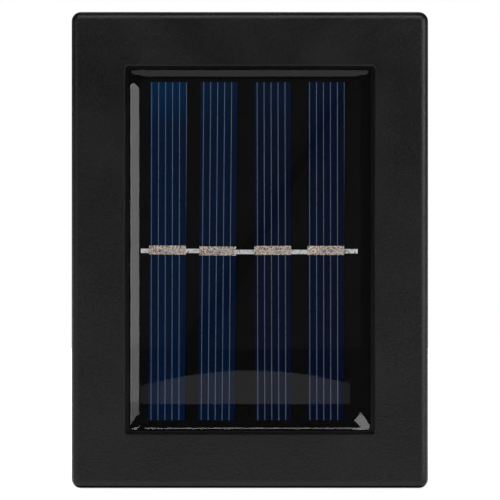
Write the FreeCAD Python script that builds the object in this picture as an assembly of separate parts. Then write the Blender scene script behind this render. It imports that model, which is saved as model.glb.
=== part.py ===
import FreeCAD, Part
import math
import os

# A solar fence light. A black tub with a resin-coated solar panel in its front face hangs on a fence by a
# keyhole in its rear cover. Two rows of LEDs shine up and down along the fence through clear windows.
# Millimetres. +X is to the right as seen from the front, +Z is up, and the front faces -Y. The origin is
# the middle of the rear face, which lies against the fence.

Vector = FreeCAD.Vector

# ---------------------------------------------------------------- driving dimensions

# Case
HEIGHT = 120.0
WIDTH = 89.8
DEPTH = 38.0
CORNER_R = 2.4
FRONT_EDGE_R = 2.0
FRONT_LAND = 0.4
DRAFT = 0.6
WALL = 2.0
FACE_T = 2.2
CAVITY_CORNER_R = 1.0
PARTING_CHAMFER = 0.3

# Sealing flange round the open back of the tub
FLANGE_W = 4.6
FLANGE_DEPTH = 4.0
GROOVE_INSET = 1.4
GROOVE_W = 1.9
GROOVE_DEPTH = 1.6
GROOVE_CORNER_R = 1.0
GASKET_SIDE_GAP = 0.1

# Rear cover
COVER_T = 2.4
COVER_EDGE_R = 0.9
RIB_T = 1.4
RIB_H = 3.0
RIB_GAP = 0.25
RIB_POST_GAP = 6.0
LABEL_W = 50.0
LABEL_H = 24.0
LABEL_CORNER_R = 2.0
LABEL_DEPTH = 0.4
LABEL_Z = -30.0

# Front frame, its window and the recess behind it
FRAME_SIDE_W = 13.5
FRAME_END_W = 13.7
WINDOW_CORNER_R = 0.8
WINDOW_CHAMFER = 0.3
RECESS_DEPTH = 3.4
RECESS_FLOOR_T = 1.6
RECESS_WALL = 1.6
LEAD_HOLE_W = 16.0
LEAD_HOLE_H = 7.0
LEAD_HOLE_Z = 18.0
LEAD_HOLE_CORNER_R = 1.0

# Solar panel
PANEL_SIDE_GAP = 1.0
PANEL_END_GAP = 0.7
PANEL_CORNER_R = 1.2
PANEL_BOARD_T = 0.8
TAPE_T = 0.4
TAPE_W = 5.0
TAPE_INSET = 1.0
RESIN_T = 2.1
RESIN_INSET = 0.15
SHOULDER_W = 2.6
SHOULDER_SLOPE = 30.0
SHOULDER_STEPS = 6
RESIN_CORNER_R = 1.0
RESIN_TOP_CORNER_R = 2.2

# Cell strips: they are laid by hand, so each is a little off its pitch and a little turned
CELL_SIDE_MARGIN = 5.87
CELL_END_MARGIN = 3.05
CELL_GAP = 4.02
CELL_T = 0.2
CELL_SHIFT_X = -1.0
CELL_SHIFT_Z = -0.3
CELL_NUDGE = (0.17, -0.49, 0.12, 0.19)
CELL_TURN_DEG = (0.35, 0.5, -0.1, 0.12)
FINGER_TURN_DEG = (0.13, 0.46, -0.14, -0.07)
FINGER_W = 0.16
FINGER_T = 0.04
FINGER_PITCH = 1.756
FIRST_FINGER = (0.55, 0.81, 0.78, 0.58)
CONTACT_PAD_H = 2.25
CONTACT_PAD_T = 0.05
CONTACT_PAD_Z = (0.0, -0.25, -0.1, -0.1)
RIBBON_W = 1.08
RIBBON_T = 0.15
RIBBON_Z = (-0.21, -0.24, -0.49, -0.49, -0.32)
RIBBON_PAD_LAP = 6.2
RIBBON_UNDER_LAP = 3.0
RIBBON_EDGE_GAP = 0.5
LEFT_TAIL = 2.1
RIGHT_TAIL = 3.45

# Light windows in the top and bottom walls
LENS_SIDE = 14.9
LENS_D = 15.5
LENS_Y = -18.25
LENS_CORNER_R = 2.0
LENS_CHAMFER = 0.3
LENS_GAP = 0.15
LENS_SINK = 0.2
LENS_LIP = 1.5
LENS_LIP_T = 1.2
FLUTE_PITCH = 2.5
FLUTE_H = 0.7
FLUTE_MARGIN = 0.1

# Reflectors behind the light windows
REFLECTOR_T = 1.2
REFLECTOR_DEPTH = 11.2
MOUTH_INSET = 1.5
MOUTH_CORNER_R = 2.0
THROAT_W = 38.0
THROAT_D = 5.0
LED_SLOT_W = 32.0
LED_SLOT_D = 4.0
EAR_OUT = 4.0
EAR_POST_GAP = 0.7
EAR_R = 3.2
EAR_T = 2.0
EAR_POST_R = 2.75
STAKE_OUT = 2.0
STAKE_R = 0.8
STAKE_GAP = 0.1
STAKE_HEAD_R = 1.4
STAKE_HEAD_T = 0.6

# LED boards
LED_BOARD_W = 44.0
LED_BOARD_D = 9.0
LED_BOARD_T = 1.0
LED_BOARD_CORNER_R = 1.0
LED_COUNT = 4
LED_PITCH = 8.0
LED_W = 3.5
LED_D = 2.8
LED_T = 0.75
LED_CUP_R = 1.1
LED_CUP_DEPTH = 0.25
LED_PAD_X = 4.0
LED_PAD_INSET = 1.55

# Push button: well in the cover, rubber boot, retaining ring and switch
BUTTON_Z = 12.0
WELL_R = 7.5
WELL_DEPTH = 1.4
WEB_T = 1.6
BOOT_R = 4.5
BOOT_WALL = 0.9
BOOT_TOP_T = 1.5
BOOT_SINK = 0.5
BOOT_EDGE_R = 1.1
BOOT_GAP = 0.4
BOOT_FLANGE_R = 7.4
BOOT_FLANGE_T = 1.0
RING_T = 1.6
RING_HOLE_R = 5.0
RING_GAP = 0.1
CUP_GAP = 0.2
CUP_WALL = 1.8
PRESS_TRAVEL = 1.5
SWITCH_W = 8.0
SWITCH_H = 7.0
SWITCH_TOP_T = 1.2
SWITCH_BASE_T = 1.0
SWITCH_BORE_R = 2.6
PLUNGER_R = 1.8
PLUNGER_GAP = 0.15
PLUNGER_STOP_GAP = 0.1
PLUNGER_OUT = 6.0
PLUNGER_FLANGE_R = 2.4
PLUNGER_FLANGE_T = 0.8
GUIDE_R = 1.1
GUIDE_END_GAP = 0.6
SPRING_WIRE_R = 0.18
SPRING_R = 1.6
SPRING_TURNS = 4

# Main board
BOARD_W = 46.0
BOARD_H = 42.0
BOARD_T = 1.6
BOARD_CORNER_R = 1.5
BOARD_SCREW_INSET = 3.0
STANDOFF_R = 2.5

# Keyhole in the rear cover and the closed cap behind it
KEY_Z = 30.0
KEY_R = 4.5
KEY_SLOT_W = 4.6
KEY_RISE = 8.0
POCKET_SIDE_GAP = 1.5
POCKET_DEPTH = 4.4
POCKET_CORNER_R = 2.5
CAP_WALL = 1.0

# Fasteners
COVER_SCREW = {"head_r": 2.8, "head_h": 1.8, "shank_r": 1.45, "length": 12.0}
SMALL_SCREW = {"head_r": 1.9, "head_h": 1.2, "shank_r": 0.95, "length": 6.0}
PILOT_GAP = 0.05
HOLE_GAP = 0.2
POST_R = 3.4
POST_LAND = 0.7
POST_WEB_T = 1.4
BOSS_GAP = 0.2
SCREW_WELL_R = 3.3
SCREW_WELL_DEPTH = 2.4
SCREW_SEAT_T = 1.6
CROSS_W = 0.28
CROSS_ARM = 0.6
CROSS_DEPTH = 0.6

# Battery and its holder
BATTERY_R = 7.0
BATTERY_L = 49.0
NUB_R = 2.6
NUB_L = 1.2
SLEEVE_T = 0.12
SLEEVE_LAP = 0.6
BATTERY_LEAD_ROOM = 8.0
HOLDER_END_ROOM = 10.13
BATTERY_GAP = 0.25
HOLDER_WALL = 1.5
HOLDER_BASE_T = 1.6
HOLDER_OVER = 3.0
HOLDER_SNAP = 0.6
CONTACT_T = 0.4
CONTACT_W = 8.0
CONTACT_TAB_OUT = 2.0
CONTACT_TAB_W = 3.0
COIL_L = 6.2
COIL_WIRE_R = 0.35
COIL_BIG_R = 3.6
COIL_SMALL_R = 2.4
COIL_TURNS = 3
HOLDER_EAR_R = 3.0
HOLDER_HEAD_GAP = 0.4

# Parts on the rear face of the main board: sizes, and places from the middle of the board
CHIP_AT = (-13.0, 9.0)
CHIP_SIZE = (4.9, 1.5, 3.9)
CHIP_LEG_PITCH = 1.27
CHIP_LEG_W = 0.4
CHIP_LEG_OUT = 1.0
CHIP_LEG_T = 0.25
INDUCTOR_AT = (13.5, 10.0)
INDUCTOR_R = 3.9
INDUCTOR_WAIST_R = 3.2
INDUCTOR_H = 5.0
INDUCTOR_LIP = 1.0
CAPACITOR_AT = (-13.5, -9.0)
CAPACITOR_R = 3.15
CAPACITOR_H = 6.5
CAPACITOR_EDGE_R = 0.4
DIODE_AT = (12.5, -8.0)
DIODE_SIZE = (4.3, 2.1, 2.6)
DIODE_TAB = 0.5
RESISTOR_SIZE = (2.0, 0.5, 1.25)
RESISTORS_AT = ((-6.5, 11.5), (-6.5, 15.0), (8.0, 3.5), (12.5, -2.5), (-7.5, -16.0))

# Leads. The bends of their routes are set in lead diameters.
LEAD_D = 1.0
SOLDER_R = 1.1
SOLDER_H = 0.8
LEAD_ARC_SHARE = 0.45
SOLAR_PAD_X = 4.0

# Places on the main board where the leads are soldered, from its middle
BATTERY_PAD = (13.0, -17.5)
SOLAR_BOARD_PAD = (12.0, 9.0)
UPPER_LED_BOARD_PAD = (8.0, 12.0)
LOWER_LED_BOARD_PAD = (9.0, -17.0)

# ---------------------------------------------------------------- planes that follow from them

FRONT_Y = -DEPTH
PARTING_Y = -COVER_T
FACE_Y = FRONT_Y + FACE_T
REAR_HALF_W = WIDTH / 2 - DRAFT
REAR_HALF_H = HEIGHT / 2 - DRAFT
CAVITY_HALF_W = REAR_HALF_W - WALL
CAVITY_HALF_H = REAR_HALF_H - WALL
FLANGE_HALF_W = REAR_HALF_W - FLANGE_W
FLANGE_HALF_H = REAR_HALF_H - FLANGE_W
FLANGE_Y = PARTING_Y - FLANGE_DEPTH

WINDOW_W = WIDTH - 2 * FRAME_SIDE_W
WINDOW_H = HEIGHT - 2 * FRAME_END_W
RECESS_Y = FRONT_Y + RECESS_DEPTH
FLOOR_Y = RECESS_Y + RECESS_FLOOR_T
PANEL_HALF_W = WINDOW_W / 2 - PANEL_SIDE_GAP
PANEL_HALF_H = WINDOW_H / 2 - PANEL_END_GAP
PANEL_BACK_Y = RECESS_Y - TAPE_T
PANEL_FACE_Y = PANEL_BACK_Y - PANEL_BOARD_T
CELL_FACE_Y = PANEL_FACE_Y - RIBBON_T - CELL_T
PAD_FACE_Y = CELL_FACE_Y - CONTACT_PAD_T
CELL_COUNT = len(CELL_NUDGE)
CELL_ROW_W = 2 * (PANEL_HALF_W - CELL_SIDE_MARGIN)
CELL_W = (CELL_ROW_W - CELL_GAP * (CELL_COUNT - 1)) / CELL_COUNT
CELL_L = 2 * (PANEL_HALF_H - CELL_END_MARGIN)

WEB_Y = -WELL_DEPTH - WEB_T
BOOT_FLANGE_Y = WEB_Y - BOOT_FLANGE_T
RING_Y = BOOT_FLANGE_Y - RING_T
TIP_Y = -BOOT_SINK - BOOT_TOP_T
SWITCH_TOP_Y = TIP_Y - PLUNGER_OUT
STOP_Y = SWITCH_TOP_Y - SWITCH_TOP_T - PLUNGER_STOP_GAP
BOARD_BACK_Y = SWITCH_TOP_Y - SWITCH_H
BOARD_FRONT_Y = BOARD_BACK_Y - BOARD_T
BOARD_Z = BUTTON_Z
SPRING_BASE_Y = BOARD_BACK_Y + SWITCH_BASE_T
SPRING_L = STOP_Y - PLUNGER_FLANGE_T - SPRING_BASE_Y

POST_INSET = GROOVE_INSET + GROOVE_W + POST_LAND + BOSS_GAP + POST_R
POST_X = REAR_HALF_W - POST_INSET
POST_Z = REAR_HALF_H - POST_INSET
SCREW_FLOOR_Y = -SCREW_WELL_DEPTH
SCREW_SEAT_Y = SCREW_FLOOR_Y - SCREW_SEAT_T

LENS_W = WIDTH - 2 * LENS_SIDE
LIP_Z = CAVITY_HALF_H - LENS_LIP_T
MOUTH_W = LENS_W - 2 * MOUTH_INSET
MOUTH_D = LENS_D - 2 * MOUTH_INSET
REFLECTOR_Z = LIP_Z - REFLECTOR_DEPTH
STAKE_X = LED_SLOT_W / 2 + STAKE_OUT
EAR_X = LENS_W / 2 + EAR_OUT
EAR_Y = LENS_Y + MOUTH_D / 2
EAR_Z = POST_Z - POST_R - EAR_POST_GAP - EAR_R
LED_BOARD_Z = REFLECTOR_Z - LED_BOARD_T
LED_PAD_Y = LENS_Y - LED_BOARD_D / 2 + LED_PAD_INSET

POCKET_HALF_W = KEY_R + POCKET_SIDE_GAP
POCKET_HALF_H = POCKET_HALF_W + KEY_RISE / 2
POCKET_Z = KEY_Z + KEY_RISE / 2
POCKET_Y = PARTING_Y - POCKET_DEPTH

CELL_BORE_R = BATTERY_R + SLEEVE_T + BATTERY_GAP
CONTACT_TOP_Y = PARTING_Y - BATTERY_LEAD_ROOM
HOLDER_RIM_Y = CONTACT_TOP_Y - CONTACT_TAB_OUT
BATTERY_Y = HOLDER_RIM_Y - HOLDER_OVER
HOLDER_Y = BATTERY_Y - CELL_BORE_R - HOLDER_BASE_T
HOLDER_HALF_IN = (BATTERY_L + NUB_L + COIL_L + 2 * CONTACT_T) / 2
HOLDER_HALF_W = HOLDER_HALF_IN + HOLDER_WALL
HOLDER_HALF_H = CELL_BORE_R + HOLDER_WALL
NUB_X = HOLDER_HALF_IN - CONTACT_T
BATTERY_END_X = NUB_X - NUB_L - BATTERY_L
HOLDER_EAR_X = HOLDER_HALF_W + HOLDER_HEAD_GAP + SMALL_SCREW["head_r"]
BATTERY_Z = HOLDER_HALF_H + HOLDER_END_ROOM - LED_BOARD_Z

COVER_PILOT_R = COVER_SCREW["shank_r"] + PILOT_GAP
COVER_HOLE_R = COVER_SCREW["shank_r"] + HOLE_GAP
SMALL_PILOT_R = SMALL_SCREW["shank_r"] + PILOT_GAP
SMALL_HOLE_R = SMALL_SCREW["shank_r"] + HOLE_GAP

# ---------------------------------------------------------------- shapes


def box(x, y, z):
    """Block from its (low, high) pairs."""
    return Part.makeBox(x[1] - x[0], y[1] - y[0], z[1] - z[0], Vector(x[0], y[0], z[0]))


def rod(radius, y_from, y_to, x=0.0, z=0.0):
    """Round bar along Y."""
    return Part.makeCylinder(radius, abs(y_to - y_from), Vector(x, min(y_from, y_to), z), Vector(0, 1, 0))


def outline(half_u, half_v, corner, place):
    """Closed rounded rectangle. place turns its two coordinates into a point."""
    edges = []
    last = None
    quarters = ((1, 1, 0), (-1, 1, 90), (-1, -1, 180), (1, -1, 270))
    for su, sv, start in quarters:
        centre_u = su * (half_u - corner)
        centre_v = sv * (half_v - corner)
        turn = [math.radians(start + step) for step in (0, 45, 90)]
        points = [place(centre_u + corner * math.cos(a), centre_v + corner * math.sin(a)) for a in turn]
        if last:
            edges.append(Part.LineSegment(last, points[0]).toShape())
        else:
            first = points[0]
        edges.append(Part.Arc(*points).toShape())
        last = points[2]
    edges.append(Part.LineSegment(last, first).toShape())
    return Part.Wire(edges)


def upright(half_w, half_h, corner, y, x=0.0, z=0.0):
    """Rounded rectangle in an upright plane at depth y."""
    return outline(half_w, half_h, corner, lambda u, v: Vector(x + u, y, z + v))


def level(half_w, half_d, corner, z, y=0.0):
    """Rounded rectangle in a level plane at height z."""
    return outline(half_w, half_d, corner, lambda u, v: Vector(u, y + v, z))


def plate(half_w, half_h, corner, y_from, y_to, x=0.0, z=0.0):
    """Upright plate between two depths."""
    low, high = min(y_from, y_to), max(y_from, y_to)
    return Part.Face(upright(half_w, half_h, corner, low, x, z)).extrude(Vector(0, high - low, 0))


def slab(half_w, half_d, corner, z_from, z_to, y):
    """Level plate between two heights."""
    return Part.Face(level(half_w, half_d, corner, z_from, y)).extrude(Vector(0, 0, z_to - z_from))


def edges_at_y(shape, y):
    """The edges that lie wholly at one depth."""
    return [e for e in shape.Edges if max(abs(e.BoundBox.YMin - y), abs(e.BoundBox.YMax - y)) < 1e-4]


def mirrored(shape):
    """The lower twin of an upper piece."""
    return shape.mirror(Vector(0, 0, 0), Vector(0, 0, 1))


def corners(half_x, half_z, z=0.0):
    """Four places in a rectangle."""
    return [(sx * half_x, z + sz * half_z) for sx in (-1, 1) for sz in (-1, 1)]


def rotated(shape, degrees, x, z):
    """Turned clockwise as seen from the front, about an axis along Y."""
    turned = shape.copy()
    turned.rotate(Vector(x, 0, z), Vector(0, 1, 0), degrees)
    return turned


def screw(size, x, z, seat_y):
    """Cross-head screw driven towards the front, with its head on seat_y."""
    top_y = seat_y + size["head_h"]
    head = rod(size["head_r"], seat_y, top_y, x, z)
    head = head.makeChamfer(size["head_h"] / 3, edges_at_y(head, top_y))
    body = head.fuse(rod(size["shank_r"], seat_y - size["length"], seat_y, x, z))
    slot = (top_y - size["head_h"] * CROSS_DEPTH, top_y)
    arm = size["head_r"] * CROSS_ARM
    half = size["head_r"] * CROSS_W / 2
    body = body.cut(box((x - arm, x + arm), slot, (z - half, z + half)))
    return body.cut(box((x - half, x + half), slot, (z - arm, z + arm)))


def group(shapes):
    """Separate solids kept in one node."""
    return Part.makeCompound(shapes)


def arc_route(points, share):
    """Straight runs joined by tangent arcs, and the least arc radius."""
    points = [Vector(*p) for p in points]
    edges = []
    radii = []
    here = points[0]
    for before, corner, after in zip(points, points[1:], points[2:]):
        way_in = (corner - before).normalize()
        way_out = (after - corner).normalize()
        turn = way_in.getAngle(way_out)
        reach = share * min(corner.distanceToPoint(before), after.distanceToPoint(corner))
        radius = reach / math.tan(turn / 2)
        start = corner - way_in * reach
        end = corner + way_out * reach
        inward = (way_out - way_in).normalize()
        middle = corner + inward * (radius / math.cos(turn / 2) - radius)
        edges.append(Part.LineSegment(here, start).toShape())
        edges.append(Part.Arc(start, middle, end).toShape())
        radii.append(radius)
        here = end
    edges.append(Part.LineSegment(here, points[-1]).toShape())
    return Part.Wire(edges), min(radii)


def lead(points):
    """Insulated wire along a route."""
    path, least = arc_route(points, LEAD_ARC_SHARE)
    along = Vector(*points[1]) - Vector(*points[0])
    ring = Part.Wire(Part.makeCircle(LEAD_D / 2, Vector(*points[0]), along))
    tube = path.makePipeShell([ring], True, False)
    print(f"lead: length {path.Length:.1f}, least arc radius {least:.1f}")
    return tube


def coil(wire_r, turns, big_r, small_r, length, place):
    """Coil spring as one unbroken tube. place turns two cross coordinates and an advance into a point."""
    def at(turned):
        share = turned / turns
        radius = big_r + (small_r - big_r) * share
        angle = 2 * math.pi * turned
        advance = wire_r + (length - 2 * wire_r) * share
        return place(radius * math.cos(angle), radius * math.sin(angle), advance)

    edges = []
    for quarter in range(4 * turns):
        start = quarter / 4
        edges.append(Part.Arc(at(start), at(start + 0.125), at(start + 0.25)).toShape())
    path = Part.Wire(edges)
    ring = Part.Wire(Part.makeCircle(wire_r, at(0), at(0.01) - at(0)))
    least_gap = (length - 2 * wire_r) / turns - 2 * wire_r
    print(f"coil: {turns} turns, least gap along the axis {least_gap:.2f}")
    return path.makePipeShell([ring], True, False)


def solder(x, y, z, direction):
    """Solder cone on a board, from its face towards direction."""
    return Part.makeCone(SOLDER_R, LEAD_D / 2, SOLDER_H, Vector(x, y, z), Vector(*direction))


# ---------------------------------------------------------------- case


def lens_hole(grow, z_from, z_to):
    """The light window's outline in the top wall, grown by a margin."""
    corner = LENS_CORNER_R + grow
    return slab(LENS_W / 2 + grow, LENS_D / 2 + grow, corner, z_from, z_to, LENS_Y)


def front_housing():
    land_y = FRONT_Y + FRONT_EDGE_R + FRONT_LAND
    land = upright(WIDTH / 2, HEIGHT / 2, CORNER_R, land_y)
    rear = upright(REAR_HALF_W, REAR_HALF_H, CORNER_R - DRAFT, PARTING_Y)
    tub = Part.makeLoft([land, rear], True, True)
    tub = tub.fuse(plate(WIDTH / 2, HEIGHT / 2, CORNER_R, FRONT_Y, land_y))
    tub = tub.makeFillet(FRONT_EDGE_R, edges_at_y(tub, FRONT_Y))
    tub = tub.makeChamfer(PARTING_CHAMFER, edges_at_y(tub, PARTING_Y))
    tub = tub.cut(plate(CAVITY_HALF_W, CAVITY_HALF_H, CAVITY_CORNER_R, FACE_Y, FLANGE_Y))
    tub = tub.cut(plate(FLANGE_HALF_W, FLANGE_HALF_H, CAVITY_CORNER_R, FLANGE_Y, PARTING_Y))
    tub = tub.fuse(inner_structure())
    tub = tub.cut(window())
    tub = tub.cut(gasket_ring(0.0))
    for wall in (lens_wall_hole(), mirrored(lens_wall_hole())):
        tub = tub.cut(wall)
    for x, z in corners(POST_X, POST_Z):
        tub = tub.cut(rod(POST_R + BOSS_GAP, SCREW_SEAT_Y, PARTING_Y, x, z))
        depth = SCREW_SEAT_Y - COVER_SCREW["length"]
        tub = tub.cut(rod(COVER_PILOT_R, depth, SCREW_SEAT_Y, x, z))
    for x, z, top_y in small_posts():
        tub = tub.cut(rod(SMALL_PILOT_R, top_y - SMALL_SCREW["length"], top_y, x, z))
    return tub.removeSplitter()


def inner_structure():
    """What stands up inside the tub: the recess block, the screw posts and the board standoffs."""
    block = plate(
        WINDOW_W / 2 + RECESS_WALL, WINDOW_H / 2 + RECESS_WALL, WINDOW_CORNER_R + RECESS_WALL, FACE_Y, FLOOR_Y
    )
    half_web = POST_WEB_T / 2
    web_y = (FACE_Y, FLANGE_Y)
    for x, z in corners(POST_X, POST_Z):
        block = block.fuse(rod(POST_R, FACE_Y, SCREW_SEAT_Y, x, z))
        wall_x = math.copysign(CAVITY_HALF_W, x)
        wall_z = math.copysign(CAVITY_HALF_H, z)
        block = block.fuse(box(sorted((x, wall_x)), web_y, (z - half_web, z + half_web)))
        block = block.fuse(box((x - half_web, x + half_web), web_y, sorted((z, wall_z))))
    radius = {EAR_Y: EAR_POST_R}
    for x, z, top_y in small_posts():
        block = block.fuse(rod(radius.get(top_y, STANDOFF_R), FACE_Y, top_y, x, z))
    return block


def small_posts():
    """Posts for small screws, as (x, z, depth of the top)."""
    posts = [(x, z, EAR_Y) for x, z in corners(EAR_X, EAR_Z)]
    posts += [(x, z, BOARD_FRONT_Y) for x, z in board_screws_at()]
    posts += [(x, z, HOLDER_Y) for x, z in holder_ears_at()]
    return posts


def board_screws_at():
    return corners(BOARD_W / 2 - BOARD_SCREW_INSET, BOARD_H / 2 - BOARD_SCREW_INSET, BOARD_Z)


def holder_ears_at():
    return [(-HOLDER_EAR_X, BATTERY_Z), (HOLDER_EAR_X, BATTERY_Z)]


def window():
    """What is taken out of the front for the panel: the recess, its chamfered edge and the lead hole."""
    half_w = WINDOW_W / 2
    half_h = WINDOW_H / 2
    grow = WINDOW_CHAMFER
    recess = plate(half_w, half_h, WINDOW_CORNER_R, FRONT_Y, RECESS_Y)
    wide = upright(half_w + grow, half_h + grow, WINDOW_CORNER_R + grow, FRONT_Y)
    narrow = upright(half_w, half_h, WINDOW_CORNER_R, FRONT_Y + grow)
    hole = plate(LEAD_HOLE_W / 2, LEAD_HOLE_H / 2, LEAD_HOLE_CORNER_R, RECESS_Y, FLOOR_Y, 0.0, LEAD_HOLE_Z)
    return recess.fuse(Part.makeLoft([wide, narrow], True, True)).fuse(hole)


def lens_wall_hole():
    """Light window through the top wall, with a small chamfer outside."""
    hole = lens_hole(0.0, CAVITY_HALF_H, HEIGHT / 2)
    edge_z = REAR_HALF_H - LENS_CHAMFER
    narrow = level(LENS_W / 2, LENS_D / 2, LENS_CORNER_R, edge_z, LENS_Y)
    grow = HEIGHT / 2 - edge_z
    wide = level(LENS_W / 2 + grow, LENS_D / 2 + grow, LENS_CORNER_R + grow, HEIGHT / 2, LENS_Y)
    return hole.fuse(Part.makeLoft([narrow, wide], True, True))


def gasket_ring(gap):
    """Ring that fills the gasket groove, less a gap at each side."""
    outer_w = REAR_HALF_W - GROOVE_INSET - gap
    outer_h = REAR_HALF_H - GROOVE_INSET - gap
    inner_w = REAR_HALF_W - GROOVE_INSET - GROOVE_W + gap
    inner_h = REAR_HALF_H - GROOVE_INSET - GROOVE_W + gap
    floor_y = PARTING_Y - GROOVE_DEPTH
    ring = plate(outer_w, outer_h, GROOVE_CORNER_R + GROOVE_W - gap, floor_y, PARTING_Y)
    return ring.cut(plate(inner_w, inner_h, GROOVE_CORNER_R + gap, floor_y, PARTING_Y))


def rear_cover():
    cover = plate(REAR_HALF_W, REAR_HALF_H, CORNER_R - DRAFT, PARTING_Y, 0)
    cover = cover.makeFillet(COVER_EDGE_R, edges_at_y(cover, 0))
    cover = cover.makeChamfer(PARTING_CHAMFER, edges_at_y(cover, PARTING_Y))
    for x, z in corners(POST_X, POST_Z):
        cover = cover.fuse(rod(POST_R, SCREW_SEAT_Y, PARTING_Y, x, z))
    cup_r = BOOT_FLANGE_R + CUP_GAP
    cover = cover.fuse(rod(cup_r + CUP_WALL, RING_Y, PARTING_Y, 0, BUTTON_Z))
    cover = cover.fuse(locating_ribs())
    cover = cover.cut(rod(cup_r, RING_Y, WEB_Y, 0, BUTTON_Z))
    cover = cover.cut(rod(BOOT_R + BOOT_GAP, WEB_Y, 0, 0, BUTTON_Z))
    cover = cover.cut(rod(WELL_R, -WELL_DEPTH, 0, 0, BUTTON_Z))
    for x, z in corners(POST_X, POST_Z):
        cover = cover.cut(rod(SCREW_WELL_R, SCREW_FLOOR_Y, 0, x, z))
        cover = cover.cut(rod(COVER_HOLE_R, SCREW_SEAT_Y, SCREW_FLOOR_Y, x, z))
    cover = cover.cut(keyhole())
    cover = cover.cut(plate(LABEL_W / 2, LABEL_H / 2, LABEL_CORNER_R, -LABEL_DEPTH, 0, 0, LABEL_Z))
    return cover.removeSplitter()


def locating_ribs():
    """Ribs on the cover that stand just inside the tub's flange."""
    depth = (PARTING_Y - RIB_H, PARTING_Y)
    side = FLANGE_HALF_W - RIB_GAP
    end = FLANGE_HALF_H - RIB_GAP
    ribs = []
    half_side = POST_Z - POST_R - RIB_POST_GAP
    half_end = POST_X - POST_R - RIB_POST_GAP
    for sign in (-1, 1):
        x = sorted((sign * side, sign * (side - RIB_T)))
        z = sorted((sign * end, sign * (end - RIB_T)))
        ribs.append(box(x, depth, (-half_side, half_side)))
        ribs.append(box((-half_end, half_end), depth, z))
    return group(ribs)


def keyhole():
    """Round entry for a screw head, and a slot up to the seat of its shank."""
    seat_z = KEY_Z + KEY_RISE
    entry = rod(KEY_R, PARTING_Y, 0, 0, KEY_Z)
    slot = box((-KEY_SLOT_W / 2, KEY_SLOT_W / 2), (PARTING_Y, 0), (KEY_Z, seat_z))
    return entry.fuse(slot).fuse(rod(KEY_SLOT_W / 2, PARTING_Y, 0, 0, seat_z))


def keyhole_cap():
    """Shallow cap on the inside of the cover that closes the keyhole to water."""
    outer = plate(
        POCKET_HALF_W + CAP_WALL, POCKET_HALF_H + CAP_WALL, POCKET_CORNER_R + CAP_WALL,
        POCKET_Y - CAP_WALL, PARTING_Y, 0, POCKET_Z,
    )
    return outer.cut(plate(POCKET_HALF_W, POCKET_HALF_H, POCKET_CORNER_R, POCKET_Y, PARTING_Y, 0, POCKET_Z))


def cover_screws():
    return group([screw(COVER_SCREW, x, z, SCREW_FLOOR_Y) for x, z in corners(POST_X, POST_Z)])


# ---------------------------------------------------------------- solar panel


def panel_plate(inset, y_from, y_to):
    return plate(PANEL_HALF_W - inset, PANEL_HALF_H - inset, PANEL_CORNER_R, y_from, y_to)


def panel_board():
    return panel_plate(0.0, PANEL_FACE_Y, PANEL_BACK_Y)


def panel_tape():
    ring = panel_plate(TAPE_INSET, PANEL_BACK_Y, RECESS_Y)
    return ring.cut(panel_plate(TAPE_INSET + TAPE_W, PANEL_BACK_Y, RECESS_Y))


def panel_terminals():
    cones = [solder(x, PANEL_BACK_Y, LEAD_HOLE_Z, (0, 1, 0)) for x in (-SOLAR_PAD_X, SOLAR_PAD_X)]
    return group(cones)


def cell_centre(index):
    """Middle of a strip, counted from the left."""
    place = index - (CELL_COUNT - 1) / 2
    return CELL_SHIFT_X + (CELL_W + CELL_GAP) * place + CELL_NUDGE[index]


def strip_box(index, y_from, y_to, z_low, z_high):
    """Block as wide as a strip and turned with it."""
    x = cell_centre(index)
    block = box((x - CELL_W / 2, x + CELL_W / 2), (y_from, y_to), (z_low, z_high))
    return rotated(block, CELL_TURN_DEG[index], x, CELL_SHIFT_Z)


def whole_strip(index, y_from, y_to):
    return strip_box(index, y_from, y_to, CELL_SHIFT_Z - CELL_L / 2, CELL_SHIFT_Z + CELL_L / 2)


def solar_cell(index):
    return whole_strip(index, CELL_FACE_Y, CELL_FACE_Y + CELL_T)


def contact_pad(index):
    z = CONTACT_PAD_Z[index]
    return strip_box(index, PAD_FACE_Y, CELL_FACE_Y, z - CONTACT_PAD_H / 2, z + CONTACT_PAD_H / 2)


def fingers(index):
    """Printed lines of one strip, above and below its pad. The strip was cut a little askew to them."""
    y = (CELL_FACE_Y - FINGER_T, CELL_FACE_Y)
    bare = whole_strip(index, *y).cut(contact_pad(index))
    centre = cell_centre(index)
    lines = []
    count = int(CELL_W / FINGER_PITCH) + 1
    for i in range(count):
        x = centre - CELL_W / 2 + FIRST_FINGER[index] + FINGER_PITCH * i
        line = box((x - FINGER_W / 2, x + FINGER_W / 2), y, (-CELL_L, CELL_L))
        line = rotated(line, FINGER_TURN_DEG[index], centre, CELL_SHIFT_Z)
        lines += line.common(bare).Solids
    return lines


def ribbon(points, z):
    """Flat ribbon whose rear face follows the points (x, y)."""
    front = [(x, y - RIBBON_T) for x, y in reversed(points)]
    low = z - RIBBON_W / 2
    loop = [Vector(x, y, low) for x, y in [*points, *front, points[0]]]
    return Part.Face(Part.makePolygon(loop)).extrude(Vector(0, 0, RIBBON_W))


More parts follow.
